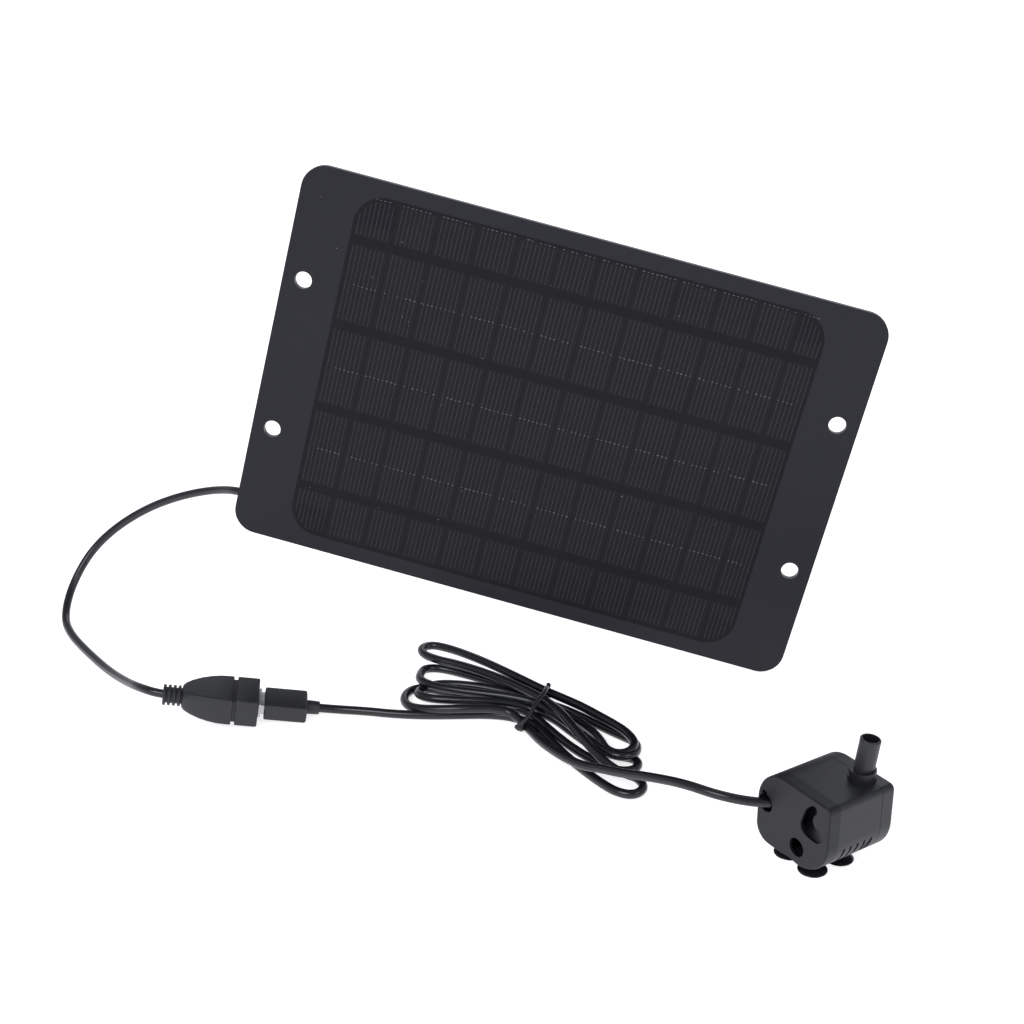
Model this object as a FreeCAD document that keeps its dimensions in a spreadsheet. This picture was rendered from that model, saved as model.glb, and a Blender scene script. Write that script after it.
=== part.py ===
"""Solar fountain pump: panel with junction box, USB socket and plug, coiled cable and pump.

Row frame: the origin is on the floor under the middle of the pump, and +Z is up.
Local frames are used for the panel, the junction box, the connector, the hank, the pump and its rotor.
"""
import FreeCAD, Part
import Sketcher
import math
import os

Vector = FreeCAD.Vector
Rotation = FreeCAD.Rotation
Placement = FreeCAD.Placement
X_AXIS = Vector(1, 0, 0)
Y_AXIS = Vector(0, 1, 0)
Z_AXIS = Vector(0, 0, 1)

doc = FreeCAD.newDocument("solar_fountain_pump")

# Driving dimensions in millimetres; each one is a cell of the spreadsheet, with its name as alias.
DIMENSIONS = {
    # Panel laminate
    "panel_length": 270.0,
    "panel_height": 180.0,
    "panel_corner": 11.0,
    "film_thickness": 0.5,
    "encapsulant_thickness": 0.8,
    "board_thickness": 2.0,
    "panel_hole_radius": 4.0,
    "panel_hole_column": 125.3,
    "panel_hole_row": 36.6,
    "cell_length": 17.7,
    "cell_height": 38.2,
    "half_cell_height": 19.0,
    "cell_thickness": 0.25,
    "ribbon_width": 1.5,
    "ribbon_thickness": 0.1,
    # Junction box
    "box_length": 52.0,
    "box_height": 34.0,
    "box_depth": 11.0,
    "box_wall": 1.8,
    "box_floor": 1.5,
    "box_corner": 3.0,
    "lid_thickness": 2.0,
    "boss_radius": 2.6,
    "screw_radius": 1.1,
    "screw_length": 8.0,
    "screw_head_radius": 2.2,
    "screw_head_height": 1.4,
    "regulator_length": 34.0,
    "regulator_height": 20.0,
    "regulator_thickness": 1.6,
    "gland_neck_radius": 3.2,
    # Cable and connectors
    "cable_radius": 2.0,
    "socket_width": 21.7,
    "socket_thickness": 12.7,
    "socket_body": 34.3,
    "socket_relief": 8.4,
    "shell_wall": 0.3,
    "socket_shell_width": 13.1,
    "socket_shell_height": 5.7,
    "plug_shell_width": 12.0,
    "plug_shell_height": 4.5,
    "plug_width": 16.1,
    "plug_thickness": 7.6,
    "plug_body": 19.2,
    "plug_relief": 5.8,
    "contact_width": 1.0,
    # Pump casing
    "pump_width": 41.0,
    "pump_low": 2.8,
    "pump_high": 36.6,
    "pump_wall": 1.8,
    "corner_top_left": 14.8,
    "corner_top_right": 2.6,
    "corner_low_left": 7.5,
    "corner_low_right": 16.6,
    "housing_length": 21.8,
    "rear_plate_length": 5.6,
    "rear_face_thickness": 1.2,
    "front_cover_length": 6.4,
    "front_face_thickness": 1.8,
    "lip_length": 1.6,
    "lip_thickness": 0.9,
    "arch_radius": 16.0,
    "slot_width": 1.1,
    "foot_radius": 3.4,
    "cup_radius": 6.0,
    # Pump inside
    "motor_radius": 13.2,
    "motor_wall": 1.2,
    "well_radius": 6.1,
    "well_wall": 1.0,
    "magnet_radius": 5.7,
    "magnet_length": 10.4,
    "stem_radius": 2.9,
    "shaft_radius": 1.0,
    "shaft_clearance": 0.05,
    "stator_radius": 11.8,
    "stator_length": 8.6,
    "pole_width": 4.5,
    "impeller_radius": 9.6,
    "blade_height": 4.4,
    "chamber_radius": 12.2,
    "cavity_radius": 11.0,
    "outlet_bore_radius": 2.8,
    "collar_radius": 5.5,
    "nozzle_radius": 4.2,
    "nozzle_foot_radius": 4.0,
    "nozzle_foot_length": 5.2,
    "nozzle_bore_radius": 3.3,
    "nozzle_length": 17.6,
    "nozzle_clearance": 0.05,
}


def make_sheet():
    """Write every driving dimension to a spreadsheet cell with an alias."""
    sheet = doc.addObject("Spreadsheet::Sheet", "dim")
    for row, (alias, value) in enumerate(DIMENSIONS.items(), start=1):
        sheet.set(f"A{row}", alias)
        sheet.set(f"B{row}", str(value))
        sheet.setAlias(f"B{row}", alias)
    doc.recompute()
    return sheet


make_sheet()
D = DIMENSIONS

# ---------------------------------------------------------------- frames and places

# The panel's frame: +X along its length, +Y out of its back, +Z up its height.
PANEL = Placement(
    Vector(-106.7, 166.3, 117.05),
    Rotation(Z_AXIS, -6.7) * Rotation(X_AXIS, -4.6) * Rotation(Y_AXIS, 13.4),
)
# The connector's frame: +X from the socket into the plug, origin in the socket's mouth.
CONNECTOR = Placement(
    Vector(-238.9, 102.9, 7.5), Rotation(Z_AXIS, 5.6) * Rotation(Y_AXIS, 9.0) * Rotation(X_AXIS, 1.7)
)
# The pump's frame: +Y along the rotor from the rear plate to the front cover.
PUMP = Placement(Vector(-0.3, -2.7, 0), Rotation(Z_AXIS, -56.5))
ROTOR_HEIGHT = 19.6
# The rotor's frame: +Z along the rotor's axis, which is the pump's +Y; the pump's up is -Y here.
ROTOR = PUMP * Placement(Vector(0, 0, ROTOR_HEIGHT), Rotation(X_AXIS, -90))

FILM_FRONT = -1.65
ENCAPSULANT_FRONT = FILM_FRONT + D["film_thickness"]
BOARD_FRONT = ENCAPSULANT_FRONT + D["encapsulant_thickness"]
BOARD_BACK = BOARD_FRONT + D["board_thickness"]
CELL_FRONT = ENCAPSULANT_FRONT + 0.3
CELL_COLUMNS = 12
CELL_PITCH = 18.45
ROW_PITCH = 40.3
HALF_ROW = 71.9

BOX_PLACE = Vector(-91.0, BOARD_BACK, -70.0)
GLAND_HEIGHT = -4.5
GLAND_DEPTH = 5.6
GLAND_TIP = 14.0

HOUSING_REAR = -11.4
HOUSING_FRONT = HOUSING_REAR + D["housing_length"]
REAR_FACE = HOUSING_REAR - D["rear_plate_length"]
COVER_GAP = 0.2
COVER_START = HOUSING_FRONT + COVER_GAP
FRONT_FACE = COVER_START + D["front_cover_length"]
MOTOR_REAR = -9.6
MOTOR_FRONT = 4.6
WELL_FLOOR = -7.0
CHAMBER_FRONT = 13.2
OUTLET = Vector(9.5, 9.5, D["pump_high"])
NOZZLE_LEAN = 6.7
CABLE_HOLE = Vector(-15.6, REAR_FACE, 20.8)
CUP_PLACES = [(7.0, -10.8), (7.0, 3.2), (-7.0, -10.8), (-7.0, 3.2)]

# ---------------------------------------------------------------- helpers


def bind(item, prop, expression):
    """Bind one property to an expression over the spreadsheet."""
    item.setExpression(prop, expression)


def dim(alias):
    """Return the expression that reads one driving dimension."""
    return f"dim.{alias}"


def origin_plane(body, role):
    """Return the body's own origin plane with that role."""
    return next(item for item in body.Origin.OriginFeatures if item.Role == role)


def new_body(label, placement):
    """Add a PartDesign body with its label and place."""
    body = doc.addObject("PartDesign::Body", label)
    body.Label = label
    body.Placement = placement
    return body


def new_sketch(body, name, role="XY_Plane", lift=0.0):
    """Add a sketch on one of the body's origin planes, lifted along the plane's normal."""
    sketch = body.newObject("Sketcher::SketchObject", name)
    sketch.AttachmentSupport = (origin_plane(body, role), [""])
    sketch.MapMode = "FlatFace"
    sketch.AttachmentOffset = Placement(Vector(0, 0, lift), Rotation())
    return sketch


def constrain(sketch, kind, places, value, expression):
    """Add one dimension to a sketch, bound to an expression if there is one."""
    index = sketch.addConstraint(Sketcher.Constraint(kind, *places, value))
    if expression:
        bind(sketch, f"Constraints[{index}]", expression)
    return index


def add_circle(sketch, x, y, radius, expression, x_expression=None, y_expression=None):
    """Add a circle whose radius, and centre if given, follow the spreadsheet."""
    curve = sketch.addGeometry(Part.Circle(Vector(x, y, 0), Z_AXIS, radius), False)
    constrain(sketch, "Radius", (curve,), radius, expression)
    constrain(sketch, "DistanceX", (-1, 1, curve, 3), x, x_expression)
    constrain(sketch, "DistanceY", (-1, 1, curve, 3), y, y_expression)


def add_rounded_outline(sketch, sides, side_expressions, radii, radius_expressions):
    """Add a rectangle with four corner radii, in the order right-top, left-top, left-low, right-low.

    sides is left, right, low, high. Every side and radius is bound to an expression.
    """
    left, right, low, high = sides
    corners = [(right, high, 0), (left, high, 90), (left, low, 180), (right, low, 270)]
    arcs = []
    for (x, y, start), radius in zip(corners, radii):
        centre = Vector(
            x - radius if x == right else x + radius,
            y - radius if y == high else y + radius,
            0,
        )
        circle = Part.Circle(centre, Z_AXIS, radius)
        arc = Part.ArcOfCircle(circle, math.radians(start), math.radians(start + 90))
        arcs.append(sketch.addGeometry(arc, False))
    lines = []
    for index, arc in enumerate(arcs):
        following = arcs[(index + 1) % 4]
        first = sketch.getPoint(arc, 2)
        last = sketch.getPoint(following, 1)
        line = sketch.addGeometry(Part.LineSegment(first, last), False)
        lines.append(line)
        sketch.addConstraint(Sketcher.Constraint("Tangent", arc, 2, line, 1))
        sketch.addConstraint(Sketcher.Constraint("Tangent", line, 2, following, 1))
    for arc, radius, expression in zip(arcs, radii, radius_expressions):
        constrain(sketch, "Radius", (arc,), radius, expression)
    top_line, left_line, low_line, right_line = lines
    constrain(sketch, "DistanceX", (-1, 1, left_line, 1), left, side_expressions[0])
    constrain(sketch, "DistanceX", (-1, 1, right_line, 1), right, side_expressions[1])
    constrain(sketch, "DistanceY", (-1, 1, low_line, 1), low, side_expressions[2])
    constrain(sketch, "DistanceY", (-1, 1, top_line, 1), high, side_expressions[3])
    for line in (top_line, low_line):
        sketch.addConstraint(Sketcher.Constraint("Horizontal", line))
    for line in (left_line, right_line):
        sketch.addConstraint(Sketcher.Constraint("Vertical", line))


def add_polygon(sketch, points):
    """Add a closed outline of straight lines with its points blocked in place."""
    lines = []
    for start, end in zip(points, points[1:] + points[:1]):
        segment = Part.LineSegment(Vector(*start, 0), Vector(*end, 0))
        lines.append(sketch.addGeometry(segment, False))
    for line, following in zip(lines, lines[1:] + lines[:1]):
        sketch.addConstraint(Sketcher.Constraint("Coincident", line, 2, following, 1))
    for line, (x, y) in zip(lines, points):
        constrain(sketch, "DistanceX", (-1, 1, line, 1), x, None)
        constrain(sketch, "DistanceY", (-1, 1, line, 1), y, None)


def pad(body, sketch, expression, reverse=False):
    """Pad a sketch by an expression."""
    feature = body.newObject("PartDesign::Pad", f"{sketch.Name}_pad")
    feature.Profile = sketch
    bind(feature, "Length", expression)
    feature.Reversed = reverse
    return feature


def pocket(body, sketch, expression):
    """Cut a sketch out of the body to a depth along the sketch plane's normal."""
    feature = body.newObject("PartDesign::Pocket", f"{sketch.Name}_pocket")
    feature.Profile = sketch
    feature.Reversed = True
    bind(feature, "Length", expression)
    return feature


def revolve(body, sketch, cut=False):
    """Turn a sketch's profile once round the sketch's vertical axis."""
    kind = "PartDesign::Groove" if cut else "PartDesign::Revolution"
    feature = body.newObject(kind, f"{sketch.Name}_turned")
    feature.Profile = sketch
    feature.ReferenceAxis = (sketch, ["V_Axis"])
    feature.Angle = 360.0
    return feature


def revolved_body(label, placement, outline):
    """Make a round piece from its half section, given as radius and height pairs."""
    body = new_body(label, placement)
    sketch = new_sketch(body, f"{label}_section", "XZ_Plane")
    add_polygon(sketch, outline)
    revolve(body, sketch)
    return body


def primitive(kind, sizes, placement):
    """Add a Part primitive with its sizes bound to expressions."""
    item = doc.addObject(f"Part::{kind}", kind.lower())
    for prop, expression in sizes.items():
        bind(item, prop, expression)
    item.Placement = placement
    return item


def cylinder(radius, height, base, axis=Z_AXIS):
    """Add a cylinder from its base point along an axis."""
    turn = Rotation(Z_AXIS, axis)
    return primitive("Cylinder", {"Radius": radius, "Height": height}, Placement(base, turn))


def block(length, width, height, centre):
    """Add a box whose sides along X, Y and Z are centred on a point."""
    item = primitive("Box", {"Length": length, "Width": width, "Height": height}, Placement())
    doc.recompute()
    half = Vector(item.Length.Value / 2, item.Width.Value / 2, item.Height.Value / 2)
    item.Placement = Placement(centre - half, Rotation())
    return item


def joined(items, label="joined", placement=Placement()):
    """Fuse several objects into one."""
    item = doc.addObject("Part::MultiFuse", label)
    item.Shapes = items
    item.Refine = True
    item.Label = label
    item.Placement = placement
    return item


def cut(base, tool, label="cut", placement=Placement()):
    """Subtract one object from another."""
    item = doc.addObject("Part::Cut", label)
    item.Base = base
    item.Tool = tool
    item.Refine = True
    item.Label = label
    item.Placement = placement
    return item


def grouped(items, label, placement=Placement()):
    """Keep several separate solids in one node."""
    item = doc.addObject("Part::Compound", label)
    item.Links = items
    item.Label = label
    item.Placement = placement
    return item


def edge_names(shape, test):
    """Return the names of the edges that pass a test."""
    return [f"Edge{i}" for i, edge in enumerate(shape.Edges, start=1) if test(edge)]


def fillet(body, base, test, expression, kind="Fillet"):
    """Round the edges of the last feature that pass a test, or bevel them if kind is Chamfer."""
    doc.recompute()
    feature = body.newObject(f"PartDesign::{kind}", f"{body.Name}_{kind.lower()}")
    feature.Base = (base, edge_names(base.Shape, test))
    bind(feature, "Size" if kind == "Chamfer" else "Radius", expression)
    return feature


def lies_at(edge, axis, value):
    """Say whether every point of an edge has that coordinate along one axis."""
    low = getattr(edge.BoundBox, f"{axis}Min")
    high = getattr(edge.BoundBox, f"{axis}Max")
    return abs(low - value) < 1e-4 and abs(high - value) < 1e-4


PARTS = []


def keep(item):
    """Register a sub-part for export."""
    PARTS.append(item)
    return item


# ---------------------------------------------------------------- panel laminate


def panel_sheet(label, front, thickness):
    """Make one full-size layer of the panel with its four screw holes."""
    body = new_body(label, PANEL)
    outline = new_sketch(body, f"{label}_outline", "XZ_Plane", -front)
    half = ["-dim.panel_length/2", "dim.panel_length/2", "-dim.panel_height/2", "dim.panel_height/2"]
    sides = (-D["panel_length"] / 2, D["panel_length"] / 2, -D["panel_height"] / 2, D["panel_height"] / 2)
    add_rounded_outline(outline, sides, half, [D["panel_corner"]] * 4, [dim("panel_corner")] * 4)
    for sign_x in (-1, 1):
        for sign_z in (-1, 1):
            x = sign_x * D["panel_hole_column"]
            z = sign_z * D["panel_hole_row"]
            centre = (f"{sign_x}*dim.panel_hole_column", f"{sign_z}*dim.panel_hole_row")
            add_circle(outline, x, z, D["panel_hole_radius"], dim("panel_hole_radius"), *centre)
    pad(body, outline, dim(thickness), reverse=True)
    return body


def cell_rows():
    """List each row of cells as its middle height, cell height alias and ribbon height."""
    full = [(index * ROW_PITCH, "cell_height", index * ROW_PITCH) for index in (-1, 0, 1)]
    edge_gap = D["half_cell_height"] / 2 - 0.9
    halves = [(side * HALF_ROW, "half_cell_height", side * (HALF_ROW + edge_gap)) for side in (-1, 1)]
    return full + halves


def make_cells():
    """Make the rows of thin cells: three full rows and a half row along each long edge."""
    cells = []
    for middle, height, _ in cell_rows():
        for column in range(CELL_COLUMNS):
            x = (column - (CELL_COLUMNS - 1) / 2) * CELL_PITCH
            y = CELL_FRONT + D["cell_thickness"] / 2
            cells.append(
                block(dim("cell_length"), dim("cell_thickness"), dim(height), Vector(x, y, middle))
            )
    return grouped(cells, "solar_cells", PANEL)


def make_ribbons():
    """Make the flat ribbon that links the cells of each row."""
    ribbons = []
    span = f"{CELL_COLUMNS}*{CELL_PITCH}"
    for _, _, height in cell_rows():
        y = CELL_FRONT - D["ribbon_thickness"] / 2
        place = Vector(0, y, height)
        ribbons.append(block(span, dim("ribbon_thickness"), dim("ribbon_width"), place))
    return grouped(ribbons, "cell_ribbons", PANEL)


def make_panel():
    """Make the four layers of the panel, from the clear film to the stiff board."""
    keep(panel_sheet("front_film", FILM_FRONT, "film_thickness"))
    cells = keep(make_cells())
    ribbons = keep(make_ribbons())
    blank = panel_sheet("encapsulant_blank", ENCAPSULANT_FRONT, "encapsulant_thickness")
    keep(cut(blank, joined([cells, ribbons]), "encapsulant"))
    keep(panel_sheet("backing_board", BOARD_FRONT, "board_thickness"))


# ---------------------------------------------------------------- junction box

BOX = PANEL * Placement(BOX_PLACE, Rotation())


def box_outline(sketch, inset=0.0, inset_expression="0"):
    """Draw the junction box's outline, pulled in by an inset."""
    half_x = D["box_length"] / 2 - inset
    half_z = D["box_height"] / 2 - inset
    x = f"(dim.box_length/2 - {inset_expression})"
    z = f"(dim.box_height/2 - {inset_expression})"
    radius = max(D["box_corner"] - inset, 0.8)
    add_rounded_outline(
        sketch,
        (-half_x, half_x, -half_z, half_z),
        [f"-{x}", x, f"-{z}", z],
        [radius] * 4,
        [f"max(dim.box_corner - {inset_expression}; 0.8)"] * 4,
    )


def boss_places():
    """List the four places of the lid screws in the box's frame."""
    x = D["box_length"] / 2 - D["box_wall"] - D["boss_radius"] + 0.6
    z = D["box_height"] / 2 - D["box_wall"] - D["boss_radius"] + 0.6
    return [(sign_x * x, sign_z * z) for sign_x in (-1, 1) for sign_z in (-1, 1)]


def make_box_base():
    """Make the open box that is glued to the board's back, with screw bosses and a gland hole."""
    body = new_body("junction_box_shell", BOX)
    outside = new_sketch(body, "box_outside", "XZ_Plane")
    box_outline(outside)
    pad(body, outside, dim("box_depth"), reverse=True)
    inside = new_sketch(body, "box_inside", "XZ_Plane", -D["box_depth"])
    box_outline(inside, D["box_wall"], dim("box_wall"))
    pocket(body, inside, "dim.box_depth - dim.box_floor")
    bosses = [
        cylinder(dim("boss_radius"), dim("box_depth"), Vector(x, 0, z), Y_AXIS) for x, z in boss_places()
    ]
    holes = [
        cylinder(dim("screw_radius"), dim("screw_length"), Vector(x, D["box_depth"] - 6.0, z), Y_AXIS)
        for x, z in boss_places()
    ]
    gland_start = Vector(-D["box_length"] / 2 - 1, GLAND_DEPTH, GLAND_HEIGHT)
    holes.append(cylinder(dim("gland_neck_radius"), "dim.box_wall + 2", gland_start, X_AXIS))
    body.Placement = Placement()
    shape = joined([body] + bosses)
    return cut(shape, joined(holes), "junction_box", BOX)


def make_lid():
    """Make the box's flat lid with a lip that drops inside the wall."""
    body = new_body("lid_blank", Placement())
    outside = new_sketch(body, "lid_outside", "XZ_Plane", -D["box_depth"])
    box_outline(outside)
    plate = pad(body, outside, dim("lid_thickness"), reverse=True)
    rim = D["box_depth"] + D["lid_thickness"]
    fillet(body, plate, lambda edge: lies_at(edge, "Y", rim), "0.6", "Chamfer")
    holes = [
        cylinder(dim("screw_radius"), "dim.lid_thickness + 2", Vector(x, D["box_depth"] - 1, z), Y_AXIS)
        for x, z in boss_places()
    ]
    return cut(body, joined(holes), "junction_box_lid", BOX)


def make_lid_screws():
    """Make the four cross-head screws of the lid."""
    screws = []
    top = D["box_depth"] + D["lid_thickness"]
    for x, z in boss_places():
        seat = Vector(x, top, z)
        head = cylinder(dim("screw_head_radius"), dim("screw_head_height"), seat, Y_AXIS)
        tip = Vector(x, top - D["screw_length"], z)
        stem = cylinder(dim("screw_radius"), dim("screw_length"), tip, Y_AXIS)
        crown = Vector(x, top + D["screw_head_height"], z)
        cross = joined([block("2.6", "1.2", "0.6", crown), block("0.6", "1.2", "2.6", crown)])
        screws.append(cut(joined([head, stem]), cross))
    return grouped(screws, "lid_screws", BOX)


def make_regulator():
    """Make the voltage regulator's circuit board and the parts soldered on it."""
    floor = D["box_floor"]
    half = D["regulator_thickness"] / 2
    top = floor + D["regulator_thickness"]
    sides = (dim("regulator_length"), dim("regulator_thickness"), dim("regulator_height"))
    board = block(*sides, Vector(0, floor + half, 0))
    keep(grouped([board], "regulator_board", BOX))
    coil = cylinder("4", "4", Vector(9, top, 3), Y_AXIS)
    hole = cylinder("1.6", "6", Vector(9, top + 2, 3), Y_AXIS)
    keep(cut(coil, hole, "regulator_inductor", BOX))
    keep(grouped([cylinder("3", "5.5", Vector(-2, top, -4), Y_AXIS)], "regulator_capacitor", BOX))
    chip = block("5", "1.5", "4", Vector(-2, top + 0.75, 5))
    keep(grouped([chip], "regulator_chip", BOX))
    diode = cylinder("1.4", "5", Vector(-13, top + 1.4, -4), Z_AXIS)
    keep(grouped([diode], "blocking_diode", BOX))


def make_gland(cable):
    """Make the rubber strain relief in the box's side, its neck clamped by the wall."""
    wall = D["box_wall"]
    neck = D["gland_neck_radius"]
    outline = [
        (0, -1.4),
        (neck + 0.9, -1.4),
        (neck + 0.9, 0),
        (neck, 0),
        (neck, wall),
        (neck + 0.9, wall),
        (neck + 0.9, wall + 1.6),
        (neck - 0.1, wall + 1.6),
        (neck - 0.6, GLAND_TIP),
        (0, GLAND_TIP),
    ]
    start = Vector(-D["box_length"] / 2 + wall, GLAND_DEPTH, GLAND_HEIGHT)
    place = BOX * Placement(start, Rotation(Z_AXIS, Vector(-1, 0, 0)))
    return cut(revolved_body("gland_blank", place, outline), cable, "cable_gland")


def make_junction_box(cable):
    """Make the box, its lid and screws, what it holds and its gland."""
    keep(make_box_base())
    keep(make_lid())
    keep(make_lid_screws())
    make_regulator()
    keep(make_gland(cable))


# ---------------------------------------------------------------- USB socket and plug


def connector_body(outline, side_outline, width, thickness):
    """Make a moulded connector body: its plan outline met with its side outline."""
    plan = Part.Face(Part.makePolygon([Vector(x, y, -thickness) for x, y in outline]))
    side = Part.Face(Part.makePolygon([Vector(x, -width, z) for x, z in side_outline]))
    plan_item = doc.addObject("Part::Feature", "plan")
    plan_item.Shape = plan.extrude(Vector(0, 0, 2 * thickness))
    side_item = doc.addObject("Part::Feature", "side")
    side_item.Shape = side.extrude(Vector(0, 2 * width, 0))
    item = doc.addObject("Part::MultiCommon", "moulded_body")
    item.Shapes = [plan_item, side_item]
    return item


def mirrored(half_outline):
    """Close a half outline with its mirror image across the X axis."""
    return half_outline + [(x, -y) for x, y in reversed(half_outline)] + half_outline[:1]


def rings(start, count, pitch, outer, length):
    """Make the ribs of a moulded strain relief."""
    return [
        cylinder(str(outer), str(length), Vector(start + index * pitch, 0, 0), X_AXIS)
        for index in range(count)
    ]


def make_socket_mould(cable):
    """Make the socket's moulded body with its groove, ribbed relief and hole for the shell."""
    half_w = D["socket_width"] / 2
    half_t = D["socket_thickness"] / 2
    back = -D["socket_body"]
    plan = mirrored([(back, 5.0), (back + 3.5, 7.4), (back + 8, 9.2), (back + 13, 10.3),
                     (back + 18, half_w), (-0.8, half_w), (0, half_w - 0.8)])
    side = mirrored([(back, 4.2), (back + 5, half_t - 1.2), (back + 11, half_t - 0.3),
                     (back + 16, half_t), (-0.6, half_t), (0, half_t - 0.6)])
    body = connector_body(plan, side, D["socket_width"], D["socket_thickness"])
    groove_outer = block("1.2", "dim.socket_width + 4", "dim.socket_thickness + 4", Vector(-10.6, 0, 0))
    groove_inner = block("4", "dim.socket_width - 1.6", "dim.socket_thickness - 1.6", Vector(-10.6, 0, 0))
    start = back - D["socket_relief"]
    core = cylinder("3.6", "dim.socket_relief + 1", Vector(start, 0, 0), X_AXIS)
    ribs = rings(start, 4, 2.2, 4.7, 1.3)
    solid = joined([cut(body, cut(groove_outer, groove_inner)), core] + ribs)
    hole = block("30", dim("socket_shell_width"), dim("socket_shell_height"), Vector(0, 0, 0))
    placed = cut(solid, hole, "socket_blank", CONNECTOR)
    return cut(placed, cable, "socket_mould")


def make_socket_shell():
    """Make the socket's folded steel shell with the flared rim that stands out of the mould."""
    outer = block("16", dim("socket_shell_width"), dim("socket_shell_height"), Vector(-7, 0, 0))
    flare = block("1.1", "dim.socket_shell_width + 1.2", "dim.socket_shell_height + 0.8", Vector(0.65, 0, 0))
    bore = block("40", "dim.socket_shell_width - 2*dim.shell_wall",
                 "dim.socket_shell_height - 2*dim.shell_wall", Vector(0, 0, 0))
    return cut(joined([outer, flare]), bore, "socket_shell", CONNECTOR)


def make_contacts(label, first, length, height, spread, placement):
    """Make four flat contacts side by side."""
    strips = [
        block(str(length), dim("contact_width"), "0.1", Vector(first + length / 2, offset, height))
        for offset in (-1.5 * spread, -0.5 * spread, 0.5 * spread, 1.5 * spread)
    ]
    return grouped(strips, label, placement)


def make_socket(cable):
    """Make the socket: mould, shell, tongue on its carrier, and contacts."""
    keep(make_socket_mould(cable))
    keep(make_socket_shell())
    carrier = block("3", "dim.socket_shell_width - 2*dim.shell_wall",
                    "dim.socket_shell_height - 2*dim.shell_wall", Vector(-13.5, 0, 0))
    tongue = block("11.5", "10.6", "1.4", Vector(-6.75, 0, 1.05))
    keep(joined([carrier, tongue], "socket_tongue", CONNECTOR))
    keep(make_contacts("socket_contacts", -11.5, 9.5, 0.3, 2.3, CONNECTOR))


PLUG_FACE = 2.7


def make_plug_mould():
    """Make the plug's moulded grip with its tapered relief and the hole for its shell."""
    half_w = D["plug_width"] / 2
    half_t = D["plug_thickness"] / 2
    end = PLUG_FACE + D["plug_body"]
    plan = mirrored([(PLUG_FACE, half_w - 0.5), (PLUG_FACE + 0.5, half_w), (end - 0.9, half_w),
                     (end, half_w - 0.9)])
    side = mirrored([(PLUG_FACE, half_t - 0.5), (PLUG_FACE + 0.5, half_t), (end - 0.8, half_t),
                     (end, half_t - 0.8)])
    body = connector_body(plan, side, D["plug_width"], D["plug_thickness"])
    turn = Rotation(Z_AXIS, X_AXIS)
    relief = primitive("Cone", {"Radius1": "3.2", "Radius2": "3.0", "Height": dim("plug_relief")},
                       Placement(Vector(end, 0, 0), turn))
    hole = block("17.6", dim("plug_shell_width"), dim("plug_shell_height"), Vector(PLUG_FACE, 0, 0))
    return cut(joined([body, relief]), hole, "plug_mould", CONNECTOR)


def make_plug():
    """Make the plug: mould, shell, insulator and contacts."""
    keep(make_plug_mould())
    outer = block("19.5", dim("plug_shell_width"), dim("plug_shell_height"), Vector(1.25, 0, 0))
    bore = block("40", "dim.plug_shell_width - 2*dim.shell_wall",
                 "dim.plug_shell_height - 2*dim.shell_wall", Vector(0, 0, 0))
    window_top = D["plug_shell_height"] / 2
    windows = [block("2.4", "2.4", "2", Vector(-4.0, side * 2.6, window_top)) for side in (-1, 1)]
    keep(cut(cut(outer, bore), joined(windows), "plug_shell", CONNECTOR))
    insulator = block("18.9", "dim.plug_shell_width - 2*dim.shell_wall", "1.95", Vector(1.45, 0, -0.975))
    keep(grouped([insulator], "plug_insulator", CONNECTOR))
    keep(make_contacts("plug_contacts", -7.5, 9.0, 0.05, 2.3, CONNECTOR))


# ---------------------------------------------------------------- cables


def cord(label, points):
    """Make a cable along straight runs joined by tangent arcs, and print the arcs' radii."""
    route = [Vector(*point) for point in points]
    edges = []
    radii = []
    start = route[0]
    for before, corner, after in zip(route, route[1:], route[2:]):
        back = (before - corner).normalize()
        ahead = (after - corner).normalize()
        turn = math.pi - back.getAngle(ahead)
        trim = 0.45 * min((before - corner).Length, (after - corner).Length)
        radius = trim / math.tan(turn / 2)
        radii.append(round(radius, 1))
        arc_start = corner + back * trim
        arc_end = corner + ahead * trim
        bisector = (back + ahead).normalize()
        reach = radius / math.cos(turn / 2) - radius
        edges.append(Part.LineSegment(start, arc_start).toShape())
        edges.append(Part.Arc(arc_start, corner + bisector * reach, arc_end).toShape())
        start = arc_end
    edges.append(Part.LineSegment(start, route[-1]).toShape())
    wire = Part.Wire(edges)
    heading = (route[1] - route[0]).normalize()
    ring = Part.Wire(Part.Circle(route[0], heading, D["cable_radius"]).toShape())
    item = doc.addObject("Part::Feature", label)
    item.Label = label
    item.Shape = wire.makePipeShell([ring], True, False)
    share = item.Shape.Volume / (math.pi * D["cable_radius"] ** 2 * wire.Length)
    print(f"{label}: length {wire.Length:.1f} mm, volume share {share:.3f}, arc radii {radii}")
    return item


def in_frame(frame, x, y, z):
    """Return a local point in the row frame."""
    point = frame.multVec(Vector(x, y, z))
    return (point.x, point.y, point.z)


GLAND_ROOT = in_frame(BOX, -D["box_length"] / 2, GLAND_DEPTH, GLAND_HEIGHT)
GLAND_AHEAD = in_frame(
    BOX, -D["box_length"] / 2 + D["box_wall"] - GLAND_TIP - 5, GLAND_DEPTH, GLAND_HEIGHT
)
SOCKET_ROOT = in_frame(CONNECTOR, -D["socket_body"], 0, 0)
SOCKET_BEHIND = in_frame(CONNECTOR, -D["socket_body"] - D["socket_relief"] - 1, 0, 0)
PLUG_TAIL = in_frame(CONNECTOR, PLUG_FACE + D["plug_body"] + D["plug_relief"], 0, 0)
PLUG_AHEAD = in_frame(CONNECTOR, PLUG_FACE + D["plug_body"] + D["plug_relief"] + 7, 0, 0)

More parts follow.
